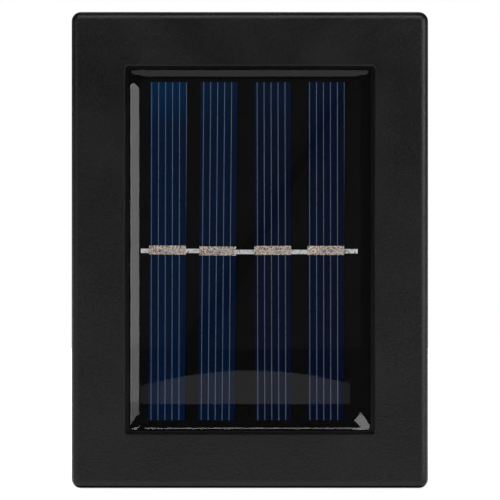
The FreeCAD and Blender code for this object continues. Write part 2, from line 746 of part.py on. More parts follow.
def tab_ribbons():
    """From the left terminal under the first strip, then from the top of each strip to under the next."""
    left = [cell_centre(i) - CELL_W / 2 for i in range(CELL_COUNT)]
    right = [cell_centre(i) + CELL_W / 2 for i in range(CELL_COUNT)]
    under = [x + RIBBON_UNDER_LAP for x in left]
    first = [(left[0] - LEFT_TAIL, PANEL_FACE_Y), (under[0], PANEL_FACE_Y)]
    pieces = [ribbon(first, RIBBON_Z[0])]
    down = [x - RIBBON_EDGE_GAP for x in left[1:]] + [right[-1] + RIGHT_TAIL / 2]
    ends = under[1:] + [right[-1] + RIGHT_TAIL]
    for i in range(CELL_COUNT):
        route = [
            (right[i] - RIBBON_PAD_LAP, PAD_FACE_Y),
            (right[i] + RIBBON_EDGE_GAP, PAD_FACE_Y),
            (down[i], PANEL_FACE_Y),
            (ends[i], PANEL_FACE_Y),
        ]
        pieces.append(ribbon(route, RIBBON_Z[i + 1]))
    return pieces


def resin_coat():
    """Clear resin poured over the board: an upright wall, a shoulder that is an arc, and a flat top."""
    slope = math.radians(SHOULDER_SLOPE)
    radius = SHOULDER_W / math.sin(slope)
    sections = [(0.0, PANEL_FACE_Y)]
    for step in range(SHOULDER_STEPS + 1):
        angle = slope * (1 - step / SHOULDER_STEPS)
        inset = SHOULDER_W - radius * math.sin(angle)
        sections.append((inset, PANEL_FACE_Y - RESIN_T + radius * (1 - math.cos(angle))))
    wires = []
    for inset, y in sections:
        half_w = PANEL_HALF_W - RESIN_INSET - inset
        half_h = PANEL_HALF_H - RESIN_INSET - inset
        corner = RESIN_CORNER_R + (RESIN_TOP_CORNER_R - RESIN_CORNER_R) * inset / SHOULDER_W
        wires.append(upright(half_w, half_h, corner, y))
    dome = Part.makeLoft(wires, True, True)
    inside = [whole_strip(i, CELL_FACE_Y, PANEL_FACE_Y) for i in range(CELL_COUNT)]
    inside += [contact_pad(i) for i in range(CELL_COUNT)]
    for i in range(CELL_COUNT):
        inside += fingers(i)
    inside += tab_ribbons()
    return dome.cut(group(inside))


# ---------------------------------------------------------------- light windows, reflectors and LEDs


def upper_lens():
    plug = lens_hole(-LENS_GAP, LIP_Z, CAVITY_HALF_H + WALL - LENS_SINK)
    lens = plug.fuse(lens_hole(LENS_LIP, LIP_Z, CAVITY_HALF_H))
    half_w = MOUTH_W / 2 - FLUTE_MARGIN
    taper = (MOUTH_D - THROAT_D) / 2 / REFLECTOR_DEPTH
    half_d = MOUTH_D / 2 - FLUTE_H * taper - FLUTE_MARGIN
    depth = (LENS_Y - half_d, LENS_Y + half_d)
    count = int(2 * half_w / FLUTE_PITCH)
    left = -count * FLUTE_PITCH / 2
    points = []
    for i in range(count):
        points.append(Vector(left + i * FLUTE_PITCH, depth[0], LIP_Z))
        points.append(Vector(left + (i + 0.5) * FLUTE_PITCH, depth[0], LIP_Z - FLUTE_H))
    points.append(Vector(left + count * FLUTE_PITCH, depth[0], LIP_Z))
    points.append(Vector(left + count * FLUTE_PITCH, depth[0], LIP_Z + LENS_LIP_T / 2))
    points.append(Vector(left, depth[0], LIP_Z + LENS_LIP_T / 2))
    points.append(points[0])
    ridges = Part.Face(Part.makePolygon(points)).extrude(Vector(0, depth[1] - depth[0], 0))
    return lens.fuse(ridges).removeSplitter()


def tray(grow, z_low, z_high):
    """Tapered block from the throat to the mouth of a reflector, grown by a wall."""
    corner = MOUTH_CORNER_R + grow
    wide = level(MOUTH_W / 2 + grow, MOUTH_D / 2 + grow, corner, z_high, LENS_Y)
    narrow = level(THROAT_W / 2 + grow, THROAT_D / 2 + grow, corner, z_low, LENS_Y)
    return Part.makeLoft([narrow, wide], True, True)


def upper_reflector():
    rim = lens_hole(LENS_LIP, LIP_Z - REFLECTOR_T, LIP_Z)
    body = rim.fuse(tray(REFLECTOR_T, REFLECTOR_Z, LIP_Z))
    ear_y = (EAR_Y, EAR_Y + EAR_T)
    body = body.fuse(box((-LENS_W / 2, LENS_W / 2), ear_y, (EAR_Z - EAR_R, LIP_Z)))
    for side in (-1, 1):
        strap = sorted((0, side * EAR_X))
        body = body.fuse(box(strap, ear_y, (EAR_Z - EAR_R, EAR_Z + EAR_R)))
        body = body.fuse(rod(EAR_R, ear_y[0], ear_y[1], side * EAR_X, EAR_Z))
    body = body.cut(tray(0.0, REFLECTOR_Z + REFLECTOR_T, LIP_Z))
    slot_y = (LENS_Y - LED_SLOT_D / 2, LENS_Y + LED_SLOT_D / 2)
    body = body.cut(box((-LED_SLOT_W / 2, LED_SLOT_W / 2), slot_y, (REFLECTOR_Z, LIP_Z)))
    for side in (-1, 1):
        body = body.cut(rod(SMALL_HOLE_R, ear_y[0], ear_y[1], side * EAR_X, EAR_Z))
        x = side * STAKE_X
        body = body.fuse(Part.makeCylinder(STAKE_R, LED_BOARD_T, Vector(x, LENS_Y, LED_BOARD_Z)))
        head_z = LED_BOARD_Z - STAKE_HEAD_T
        body = body.fuse(Part.makeCylinder(STAKE_HEAD_R, STAKE_HEAD_T, Vector(x, LENS_Y, head_z)))
    return body.removeSplitter()


def reflector_screws():
    return group([screw(SMALL_SCREW, x, z, EAR_Y + EAR_T) for x, z in corners(EAR_X, EAR_Z)])


def upper_led_board():
    board = slab(LED_BOARD_W / 2, LED_BOARD_D / 2, LED_BOARD_CORNER_R, LED_BOARD_Z, REFLECTOR_Z, LENS_Y)
    for side in (-1, 1):
        corner = Vector(side * STAKE_X, LENS_Y, LED_BOARD_Z)
        hole = Part.makeCylinder(STAKE_R + STAKE_GAP, LED_BOARD_T, corner)
        board = board.cut(hole)
    return board


def upper_leds():
    """LED packages on the board, each with a shallow round cup."""
    packages = []
    for i in range(LED_COUNT):
        x = LED_PITCH * (i - (LED_COUNT - 1) / 2)
        z = (REFLECTOR_Z, REFLECTOR_Z + LED_T)
        body = box((x - LED_W / 2, x + LED_W / 2), (LENS_Y - LED_D / 2, LENS_Y + LED_D / 2), z)
        cup = Part.makeCylinder(LED_CUP_R, LED_CUP_DEPTH, Vector(x, LENS_Y, z[1] - LED_CUP_DEPTH))
        packages.append(body.cut(cup))
    return group(packages)


# ---------------------------------------------------------------- push button


def button_boot():
    """Soft rubber cap with a flange that is clamped behind the web of the cover."""
    dome = rod(BOOT_R, BOOT_FLANGE_Y, -BOOT_SINK, 0, BUTTON_Z)
    dome = dome.makeFillet(BOOT_EDGE_R, edges_at_y(dome, -BOOT_SINK))
    boot = dome.fuse(rod(BOOT_FLANGE_R, BOOT_FLANGE_Y, WEB_Y, 0, BUTTON_Z))
    return boot.cut(rod(BOOT_R - BOOT_WALL, BOOT_FLANGE_Y, TIP_Y, 0, BUTTON_Z))


def boot_ring():
    ring = rod(BOOT_FLANGE_R + CUP_GAP - RING_GAP, RING_Y, BOOT_FLANGE_Y, 0, BUTTON_Z)
    return ring.cut(rod(RING_HOLE_R, RING_Y, BOOT_FLANGE_Y, 0, BUTTON_Z))


def switch_body():
    half = SWITCH_W / 2
    body = box((-half, half), (BOARD_BACK_Y, SWITCH_TOP_Y), (BUTTON_Z - half, BUTTON_Z + half))
    body = body.cut(rod(SWITCH_BORE_R, SPRING_BASE_Y, SWITCH_TOP_Y - SWITCH_TOP_T, 0, BUTTON_Z))
    return body.cut(rod(PLUNGER_R + PLUNGER_GAP, SWITCH_TOP_Y - SWITCH_TOP_T, SWITCH_TOP_Y, 0, BUTTON_Z))


def switch_plunger():
    """Moving part: the stem, its stop flange and the guide inside the spring."""
    flange_y = STOP_Y - PLUNGER_FLANGE_T
    guide_y = SPRING_BASE_Y + PRESS_TRAVEL + GUIDE_END_GAP
    plunger = rod(PLUNGER_R, STOP_Y, TIP_Y, 0, BUTTON_Z)
    plunger = plunger.fuse(rod(PLUNGER_FLANGE_R, flange_y, STOP_Y, 0, BUTTON_Z))
    return plunger.fuse(rod(GUIDE_R, guide_y, flange_y, 0, BUTTON_Z))


def switch_spring():
    return coil(
        SPRING_WIRE_R, SPRING_TURNS, SPRING_R, SPRING_R, SPRING_L,
        lambda u, v, along: Vector(u, SPRING_BASE_Y + along, BUTTON_Z + v),
    )


# ---------------------------------------------------------------- main board


def board_place(at):
    """From the middle of the main board to the whole light."""
    return at[0], BOARD_Z + at[1]


def on_board(at, size, y_from=BOARD_BACK_Y):
    """Block on the rear face of the main board."""
    x, z = board_place(at)
    width, height, depth = size
    return box((x - width / 2, x + width / 2), (y_from, y_from + height), (z - depth / 2, z + depth / 2))


def main_board():
    board = plate(BOARD_W / 2, BOARD_H / 2, BOARD_CORNER_R, BOARD_FRONT_Y, BOARD_BACK_Y, 0, BOARD_Z)
    for x, z in board_screws_at():
        board = board.cut(rod(SMALL_HOLE_R, BOARD_FRONT_Y, BOARD_BACK_Y, x, z))
    return board


def board_screws():
    return group([screw(SMALL_SCREW, x, z, BOARD_BACK_Y) for x, z in board_screws_at()])


def driver_chip():
    """Eight-legged chip that steps the battery's voltage up for the LEDs."""
    x, z = CHIP_AT
    width, height, depth = CHIP_SIZE
    chip = on_board(CHIP_AT, (width, height - CHIP_LEG_T, depth), BOARD_BACK_Y + CHIP_LEG_T)
    for place in (-1.5, -0.5, 0.5, 1.5):
        legs_at = (x + CHIP_LEG_PITCH * place, z)
        chip = chip.fuse(on_board(legs_at, (CHIP_LEG_W, CHIP_LEG_T, depth + 2 * CHIP_LEG_OUT)))
    return chip


def boost_inductor():
    """Drum core with a wound waist."""
    x, z = board_place(INDUCTOR_AT)
    drum = rod(INDUCTOR_WAIST_R, BOARD_BACK_Y, BOARD_BACK_Y + INDUCTOR_H, x, z)
    drum = drum.fuse(rod(INDUCTOR_R, BOARD_BACK_Y, BOARD_BACK_Y + INDUCTOR_LIP, x, z))
    top_y = BOARD_BACK_Y + INDUCTOR_H
    return drum.fuse(rod(INDUCTOR_R, top_y - INDUCTOR_LIP, top_y, x, z))


def storage_capacitor():
    x, z = board_place(CAPACITOR_AT)
    can = rod(CAPACITOR_R, BOARD_BACK_Y, BOARD_BACK_Y + CAPACITOR_H, x, z)
    return can.makeFillet(CAPACITOR_EDGE_R, edges_at_y(can, BOARD_BACK_Y + CAPACITOR_H))


def blocking_diode():
    width, height, depth = DIODE_SIZE
    tabs = on_board(DIODE_AT, (width + 2 * DIODE_TAB, CHIP_LEG_T, depth / 2))
    return on_board(DIODE_AT, DIODE_SIZE).fuse(tabs)


def chip_resistors():
    return group([on_board(at, RESISTOR_SIZE) for at in RESISTORS_AT])


# ---------------------------------------------------------------- battery


def along_x(radius, x_from, x_to):
    """Round bar on the battery's axis."""
    return Part.makeCylinder(radius, x_to - x_from, Vector(x_from, BATTERY_Y, BATTERY_Z), Vector(1, 0, 0))


def battery_cell():
    can = along_x(BATTERY_R, BATTERY_END_X, BATTERY_END_X + BATTERY_L)
    return can.fuse(along_x(NUB_R, BATTERY_END_X + BATTERY_L, NUB_X))


def battery_sleeve():
    start, end = BATTERY_END_X + SLEEVE_LAP, BATTERY_END_X + BATTERY_L - SLEEVE_LAP
    return along_x(BATTERY_R + SLEEVE_T, start, end).cut(along_x(BATTERY_R, start, end))


def battery_holder():
    """Open trough with end walls and two ears for screws."""
    z = (BATTERY_Z - HOLDER_HALF_H, BATTERY_Z + HOLDER_HALF_H)
    body = box((-HOLDER_HALF_W, HOLDER_HALF_W), (HOLDER_Y, HOLDER_RIM_Y), z)
    for x, ear_z in holder_ears_at():
        body = body.fuse(rod(HOLDER_EAR_R, HOLDER_Y, HOLDER_Y + HOLDER_BASE_T, x, ear_z))
    body = body.cut(along_x(CELL_BORE_R, -HOLDER_HALF_IN, HOLDER_HALF_IN))
    mouth = CELL_BORE_R - HOLDER_SNAP
    mouth_z = (BATTERY_Z - mouth, BATTERY_Z + mouth)
    body = body.cut(box((-HOLDER_HALF_IN, HOLDER_HALF_IN), (BATTERY_Y, HOLDER_RIM_Y), mouth_z))
    for x, ear_z in holder_ears_at():
        body = body.cut(rod(SMALL_HOLE_R, HOLDER_Y, HOLDER_Y + HOLDER_BASE_T, x, ear_z))
    return body


def holder_screws():
    return group([screw(SMALL_SCREW, x, z, HOLDER_Y + HOLDER_BASE_T) for x, z in holder_ears_at()])


def contact_plate(x_from):
    """Sprung steel plate on an end wall, with a narrow tab for the lead."""
    x = (x_from, x_from + CONTACT_T)
    half = CONTACT_W / 2
    wide = box(x, (BATTERY_Y - half, BATTERY_Y + half / 2), (BATTERY_Z - half, BATTERY_Z + half))
    half = CONTACT_TAB_W / 2
    return wide.fuse(box(x, (BATTERY_Y, CONTACT_TOP_Y), (BATTERY_Z - half, BATTERY_Z + half)))


def battery_contact():
    return contact_plate(NUB_X)


def battery_spring():
    """Tapered coil with its plate, at the flat end of the battery."""
    foot_x = CONTACT_T - HOLDER_HALF_IN
    spiral = coil(
        COIL_WIRE_R, COIL_TURNS, COIL_BIG_R, COIL_SMALL_R, COIL_L,
        lambda u, v, along: Vector(foot_x + along, BATTERY_Y + u, BATTERY_Z + v),
    )
    return group([contact_plate(-HOLDER_HALF_IN), spiral])


# ---------------------------------------------------------------- leads and their solder joints


def solar_lead(side):
    pad_x, pad_z = board_place(SOLAR_BOARD_PAD)
    start_y = PANEL_BACK_Y + SOLDER_H
    end_y = BOARD_FRONT_Y - SOLDER_H
    span = end_y - start_y
    return [
        (side * SOLAR_PAD_X, start_y, LEAD_HOLE_Z),
        (side * SOLAR_PAD_X, start_y + span * 0.3, LEAD_HOLE_Z),
        (side * (SOLAR_PAD_X + pad_x) / 2, start_y + span * 0.5, (LEAD_HOLE_Z + pad_z) / 2),
        (side * pad_x, start_y + span * 0.72, pad_z),
        (side * pad_x, end_y, pad_z),
    ]


def battery_lead(side):
    """From a contact's tab, up behind the holder, to the rear face of the main board."""
    pad_x, pad_z = board_place(BATTERY_PAD)
    tab_x = HOLDER_HALF_IN - CONTACT_T / 2
    end_y = BOARD_BACK_Y + SOLDER_H
    return [
        (side * tab_x, CONTACT_TOP_Y, BATTERY_Z),
        (side * tab_x, CONTACT_TOP_Y + 4.2 * LEAD_D, BATTERY_Z),
        (side * (tab_x - 1.8 * LEAD_D), CONTACT_TOP_Y + 6.3 * LEAD_D, BATTERY_Z + 3.5 * LEAD_D),
        (side * (tab_x - 5.3 * LEAD_D), CONTACT_TOP_Y + 6.5 * LEAD_D, BATTERY_Z + 8.5 * LEAD_D),
        (side * (pad_x + 5.0 * LEAD_D), end_y + 8.6 * LEAD_D, pad_z - 5.5 * LEAD_D),
        (side * pad_x, end_y + 5.0 * LEAD_D, pad_z),
        (side * pad_x, end_y, pad_z),
    ]


def upper_led_lead(side):
    pad_x, pad_z = board_place(UPPER_LED_BOARD_PAD)
    start_z = LED_BOARD_Z - SOLDER_H
    end_y = BOARD_FRONT_Y - SOLDER_H
    return [
        (side * LED_PAD_X, LED_PAD_Y, start_z),
        (side * LED_PAD_X, LED_PAD_Y, start_z - 4.6 * LEAD_D),
        (side * (LED_PAD_X + LEAD_D), LED_PAD_Y - 1.8 * LEAD_D, start_z - 9.2 * LEAD_D),
        (side * (pad_x - LEAD_D), end_y - 6.6 * LEAD_D, pad_z + 4.8 * LEAD_D),
        (side * pad_x, end_y - 5.0 * LEAD_D, pad_z),
        (side * pad_x, end_y, pad_z),
    ]


def lower_led_lead(side):
    """Runs in front of the battery holder."""
    pad_x, pad_z = board_place(LOWER_LED_BOARD_PAD)
    start_z = SOLDER_H - LED_BOARD_Z
    end_y = BOARD_FRONT_Y - SOLDER_H
    front_y = HOLDER_Y - 3.8 * LEAD_D
    over_z = BATTERY_Z + HOLDER_HALF_H + 1.13 * LEAD_D
    return [
        (side * LED_PAD_X, LED_PAD_Y, start_z),
        (side * LED_PAD_X, LED_PAD_Y, start_z + 3.7 * LEAD_D),
        (side * (LED_PAD_X + 0.6 * LEAD_D), LED_PAD_Y - 3.8 * LEAD_D, start_z + 6.8 * LEAD_D),
        (side * (LED_PAD_X + 1.4 * LEAD_D), front_y, start_z + 13.0 * LEAD_D),
        (side * (pad_x - 2.6 * LEAD_D), front_y - 0.4 * LEAD_D, BATTERY_Z + 2.5 * LEAD_D),
        (side * (pad_x - 1.2 * LEAD_D), front_y + 1.2 * LEAD_D, over_z),
        (side * (pad_x - 0.2 * LEAD_D), end_y - 6.2 * LEAD_D, pad_z - 4.0 * LEAD_D),
        (side * pad_x, end_y - 4.6 * LEAD_D, pad_z),
        (side * pad_x, end_y, pad_z),
    ]


def solder_joints():
    """Solder cones where the leads meet the main board and the LED boards."""
    joints = []
    for side in (-1, 1):
        for pad in (SOLAR_BOARD_PAD, UPPER_LED_BOARD_PAD, LOWER_LED_BOARD_PAD):
            x, z = board_place(pad)
            joints.append(solder(side * x, BOARD_FRONT_Y, z, (0, -1, 0)))
        x, z = board_place(BATTERY_PAD)
        joints.append(solder(side * x, BOARD_BACK_Y, z, (0, 1, 0)))
        joints.append(solder(side * LED_PAD_X, LED_PAD_Y, LED_BOARD_Z, (0, 0, -1)))
        joints.append(solder(side * LED_PAD_X, LED_PAD_Y, -LED_BOARD_Z, (0, 0, 1)))
    return group(joints)


# ---------------------------------------------------------------- every node

NODES = {
    "front_housing": front_housing(),
    "rear_cover": rear_cover(),
    "keyhole_cap": keyhole_cap(),
    "cover_gasket": gasket_ring(GASKET_SIDE_GAP),
    "cover_screws": cover_screws(),
    "panel_board": panel_board(),
    "panel_tape": panel_tape(),
    "panel_terminals": panel_terminals(),
    "contact_pads": group([contact_pad(i) for i in range(CELL_COUNT)]),
    "cell_fingers": group([line for i in range(CELL_COUNT) for line in fingers(i)]),
    "tab_ribbons": group(tab_ribbons()),
    "resin_coat": resin_coat(),
    "upper_lens": upper_lens(),
    "lower_lens": mirrored(upper_lens()),
    "upper_reflector": upper_reflector(),
    "lower_reflector": mirrored(upper_reflector()),
    "reflector_screws": reflector_screws(),
    "upper_led_board": upper_led_board(),
    "lower_led_board": mirrored(upper_led_board()),
    "upper_leds": upper_leds(),
    "lower_leds": mirrored(upper_leds()),
    "button_boot": button_boot(),
    "boot_ring": boot_ring(),
    "switch_body": switch_body(),
    "switch_plunger": switch_plunger(),
    "switch_spring": switch_spring(),
    "main_board": main_board(),
    "board_screws": board_screws(),
    "driver_chip": driver_chip(),
    "boost_inductor": boost_inductor(),
    "storage_capacitor": storage_capacitor(),
    "blocking_diode": blocking_diode(),
    "chip_resistors": chip_resistors(),
    "battery_cell": battery_cell(),
    "battery_sleeve": battery_sleeve(),
    "battery_holder": battery_holder(),
    "holder_screws": holder_screws(),
    "battery_contact": battery_contact(),
    "battery_spring": battery_spring(),
    "solder_joints": solder_joints(),
}
for cell_index in range(CELL_COUNT):
    NODES[f"solar_cell_{cell_index + 1}"] = solar_cell(cell_index)
LEADS = {
    "solar_lead": solar_lead,
    "battery_lead": battery_lead,
    "upper_led_lead": upper_led_lead,
    "lower_led_lead": lower_led_lead,
}
for lead_name, route in LEADS.items():
    NODES[f"{lead_name}_black"] = lead(route(-1))
    NODES[f"{lead_name}_red"] = lead(route(1))

os.makedirs("parts", exist_ok=True)
for name, shape in NODES.items():
    if not shape.isValid() or not shape.Solids:
        raise ValueError(f"{name} is not a valid solid")
    shape.exportStep(f"parts/{name}.step")
print(f"{len(NODES)} nodes, {sum(len(s.Solids) for s in NODES.values())} solids")
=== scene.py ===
import bmesh
import bpy
import math
from mathutils import Matrix, Vector


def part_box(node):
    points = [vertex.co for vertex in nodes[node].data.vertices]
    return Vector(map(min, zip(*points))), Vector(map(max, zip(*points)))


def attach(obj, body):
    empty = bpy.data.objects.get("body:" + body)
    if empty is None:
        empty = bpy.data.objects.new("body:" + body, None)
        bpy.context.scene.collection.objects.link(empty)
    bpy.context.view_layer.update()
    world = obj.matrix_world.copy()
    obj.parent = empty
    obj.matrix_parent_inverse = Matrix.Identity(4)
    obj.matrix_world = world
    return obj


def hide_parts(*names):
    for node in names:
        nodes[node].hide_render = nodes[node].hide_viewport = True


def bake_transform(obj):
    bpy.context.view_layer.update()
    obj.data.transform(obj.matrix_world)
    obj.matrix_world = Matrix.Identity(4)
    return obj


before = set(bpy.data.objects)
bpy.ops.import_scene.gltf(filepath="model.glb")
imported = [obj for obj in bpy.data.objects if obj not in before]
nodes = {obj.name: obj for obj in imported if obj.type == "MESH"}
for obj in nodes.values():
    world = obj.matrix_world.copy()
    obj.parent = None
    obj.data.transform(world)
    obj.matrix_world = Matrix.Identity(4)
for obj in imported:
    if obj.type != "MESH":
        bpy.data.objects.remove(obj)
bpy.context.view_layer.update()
scene = bpy.context.scene
MM = 0.001

# ---------------------------------------------------------------- camera
# The light is seen straight on, from far enough away that its sides don't show. The view is as
# wide as the photograph at the front of the case.
VIEW_DISTANCE = 0.9
VIEW_WIDTH = 0.12572
SENSOR_WIDTH = 36.0
CENTRE_X = 0.00003
front_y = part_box("front_housing")[0].y
camera = bpy.data.objects.new("camera", bpy.data.cameras.new("camera"))
camera.data.sensor_width = SENSOR_WIDTH
camera.data.lens = SENSOR_WIDTH * VIEW_DISTANCE / VIEW_WIDTH
camera.data.clip_start = 0.05
camera.data.clip_end = 20.0
camera.location = (CENTRE_X, front_y - VIEW_DISTANCE, 0.0)
camera.rotation_euler = (math.radians(90), 0, 0)
scene.collection.objects.link(camera)
scene.camera = camera
scene.view_settings.view_transform = "Standard"

# ---------------------------------------------------------------- floor, backdrop and light
# A white floor and a white room, with soft lamps before and behind the light. Black cards stand
# in front of it and soft white ones beside and above, which only its reflections show.
ROOM_LIGHT = 0.3
FLOOR_Z = -0.06
FLOOR_GLOW = 0.72


def add(tree, kind, settings=None, **inputs):
    """New node. An input is given a number, a colour or another node's output."""
    node = tree.nodes.new(kind)
    for name, value in (settings or {}).items():
        setattr(node, name, value)
    for name, value in inputs.items():
        place = int(name[1:]) if name[1:].isdigit() else name.replace("_", " ")
        if isinstance(value, bpy.types.NodeSocket):
            tree.links.new(value, node.inputs[place])
        else:
            node.inputs[place].default_value = value
    return node


def new_object(name, data):
    piece = bpy.data.objects.new(name, data)
    scene.collection.objects.link(piece)
    return piece


def maths(tree, kind, a, b):
    return add(tree, "ShaderNodeMath", {"operation": kind}, i0=a, i1=b).outputs[0]


def blend_values(tree, factor, low, high):
    return add(tree, "ShaderNodeMapRange", i0=factor, i3=low, i4=high).outputs[0]


def soft_step(tree, value, low, high):
    """0 below low and 1 above high, with a smooth rise between them."""
    settings = {"interpolation_type": "SMOOTHSTEP"}
    return add(tree, "ShaderNodeMapRange", settings, i0=value, i1=low, i2=high).outputs[0]


def seen_directly(tree):
    """1 for what the camera, a reflection or clear plastic shows, and 0 for light on a surface."""
    path = add(tree, "ShaderNodeLightPath").outputs
    either = maths(tree, "MAXIMUM", path["Is Camera Ray"], path["Is Glossy Ray"])
    return maths(tree, "MAXIMUM", either, path["Is Transmission Ray"])


scene.world = bpy.data.worlds.new("white_room")
scene.world.use_nodes = True
room = scene.world.node_tree
room.nodes["Background"].inputs["Color"].default_value = (1, 1, 1, 1)
room.links.new(blend_values(room, seen_directly(room), ROOM_LIGHT, 1.0), room.nodes["Background"].inputs["Strength"])


def sheet_mesh(name, faces):
    """Thin sheet of flat faces, each given by its corners."""
    points = [tuple(p) for face in faces for p in face]
    mesh = bpy.data.meshes.new(name)
    order = iter(range(len(points)))
    mesh.from_pydata(points, [], [[next(order) for _ in face] for face in faces])
    sheet = new_object(name, mesh)
    return sheet


def level(x, y, z):
    """One level face between two x and two y."""
    return [[(x[0], y[0], z), (x[1], y[0], z), (x[1], y[1], z), (x[0], y[1], z)]]


FLOOR_REACH = 1.25
floor = sheet_mesh("floor", level((-FLOOR_REACH, FLOOR_REACH), (-FLOOR_REACH, FLOOR_REACH), FLOOR_Z))
pale_floor = bpy.data.materials.new("pale_floor")
pale_floor.use_nodes = True
tree = pale_floor.node_tree
shader = tree.nodes["Principled BSDF"]
shader.inputs["Roughness"].default_value = 0.9
shader.inputs["Specular IOR Level"].default_value = 0.1
grain = add(tree, "ShaderNodeTexNoise", Scale=6.0, Detail=3.0)
tree.links.new(add(tree, "ShaderNodeMix", {"data_type": "RGBA"}, Factor=grain.outputs[0], i6=(0.78, 0.78, 0.78, 1),
                   i7=(0.82, 0.82, 0.82, 1)).outputs[2], shader.inputs["Base Color"])
shader.inputs["Emission Color"].default_value = (1, 1, 1, 1)
tree.links.new(blend_values(tree, seen_directly(tree), 0.0, FLOOR_GLOW), shader.inputs["Emission Strength"])
floor.data.materials.append(pale_floor)


def card(name, faces, glow, shown_in=None):
    """Sheet that only reflections show. One that is shown in some pieces only is clear to all others."""
    sheet = sheet_mesh(name, faces)
    glowing = bpy.data.materials.new(name)
    glowing.use_nodes = True
    tree = glowing.node_tree
    tree.nodes.clear()
    light = add(tree, "ShaderNodeEmission", Color=(1, 1, 1, 1), Strength=glow)
    out = add(tree, "ShaderNodeOutputMaterial")
    if shown_in:
        through = add(tree, "ShaderNodeBsdfTransparent")
        light = add(tree, "ShaderNodeAddShader", i0=light.outputs[0], i1=through.outputs[0])
        sheet.light_linking.receiver_collection = shown_in
    tree.links.new(light.outputs[0], out.inputs["Surface"])
    sheet.data.materials.append(glowing)
    sheet.visible_camera = False
    sheet.visible_diffuse = False
    sheet.visible_shadow = False
    return sheet


def round_about(radius, azimuth, height, facets):
    """Upright band round the light. Azimuth 0 is in front of it, and -90 to its left."""
    steps = [azimuth[0] + (azimuth[1] - azimuth[0]) * i / facets for i in range(facets + 1)]
    at = [(radius * math.sin(math.radians(a)), -radius * math.cos(math.radians(a))) for a in steps]
    return [[(*a, height[0]), (*b, height[0]), (*b, height[1]), (*a, height[1])] for a, b in zip(at, at[1:])]


# The gloss of the case and of the resin is lit apart, as a photographer does with small cards.
# Those that lie on the floor are a little above one another, so that none hides the next.
case_gloss = bpy.data.collections.new("case_gloss")
resin_gloss = bpy.data.collections.new("resin_gloss")
DARK_CARD_Z, CASE_CARD_Z, RESIN_CARD_Z = FLOOR_Z + 0.0002, FLOOR_Z + 0.0007, FLOOR_Z + 0.0012

# Black all round, and open behind, so that the white room shows only beside the light.
DARK_RADIUS, DARK_TOP, DARK_BACK, DARK_SPAN, DARK_GLOW = 1.3, 1.6, 1.0, 160, 0.010
UNDER_CASE = 0.004
card("dark_surround", round_about(DARK_RADIUS, (-DARK_SPAN, DARK_SPAN), (DARK_CARD_Z, DARK_TOP), 32)
     + level((-DARK_RADIUS, DARK_RADIUS), (-DARK_RADIUS, DARK_BACK), DARK_TOP)
     + level((-DARK_RADIUS, DARK_RADIUS), (-DARK_RADIUS, front_y + UNDER_CASE), DARK_CARD_Z), DARK_GLOW)

# Two grey halves with a leaning dark stripe between them. They are laid twice, for a soft edge.
GREY_Y, GREY_TOP, GREY_SIDE, GREY_LOW, GREY_GLOW = -1.2, 150, 150, -57, 0.028
GREY_SHIFT = 4
GREY_HALVES = ((-GREY_SIDE, -45.4, 84.9), (GREY_SIDE, -20.7, 89.9))
for number, shift in enumerate((-GREY_SHIFT, GREY_SHIFT)):
    halves = [[(low + shift, GREY_LOW), (high + shift, GREY_TOP), (side, GREY_TOP), (side, GREY_LOW)]
              for side, low, high in GREY_HALVES]
    card(f"grey_surround_{number}", [[(x * MM, GREY_Y, z * MM) for x, z in half] for half in halves], GREY_GLOW,
         resin_gloss)

# A tall white card to the left that dims towards the floor, and a wide one above.
TALL_RADIUS, TALL_SPAN, TALL_FACETS = 0.30, (-100, -10.7), 24
for part, low, high, glow in (("", -0.030, 0.0536, 2.75), ("_low", -0.049, -0.030, 2.3),
                              ("_foot", -0.0595, -0.049, 1.6)):
    card("tall_left_light" + part, round_about(TALL_RADIUS, TALL_SPAN, (low, high), TALL_FACETS), glow, resin_gloss)
UPPER_HALF_W, UPPER_FAR_Y, UPPER_Z, UPPER_GLOW = 0.5, -0.856, 0.35, 0.6
card("upper_light", level((-UPPER_HALF_W, UPPER_HALF_W), (UPPER_FAR_Y, 0.0), UPPER_Z), UPPER_GLOW, resin_gloss)

# A grey arc low in front, dimmer at both ends.
ARC_Y, ARC_FACETS = -0.5, 16
ARC_FROM, ARC_TO, ARC_PEAK, ARC_SAG, ARC_BOTTOM = -41.9, 38.2, -45.9, 4.9, -58.6
ARC_FADE, ARC_GLOW, ARC_END_GLOW = 34.0, 0.39, 0.22
for name, x_from, x_to, glow in (("low_front_light", -ARC_FADE, ARC_FADE, ARC_GLOW),
                                 ("low_front_left_end", ARC_FROM, -ARC_FADE, ARC_END_GLOW),
                                 ("low_front_right_end", ARC_FADE, ARC_TO, ARC_END_GLOW)):
    arc = [x_from + (x_to - x_from) * i / ARC_FACETS for i in range(ARC_FACETS + 1)]
    arc = [(x, ARC_PEAK - ARC_SAG * (x / ARC_TO) ** 2) for x in arc] + [(x_to, ARC_BOTTOM), (x_from, ARC_BOTTOM)]
    card(name, [[(x * MM, ARC_Y, z * MM) for x, z in arc]], glow, resin_gloss)

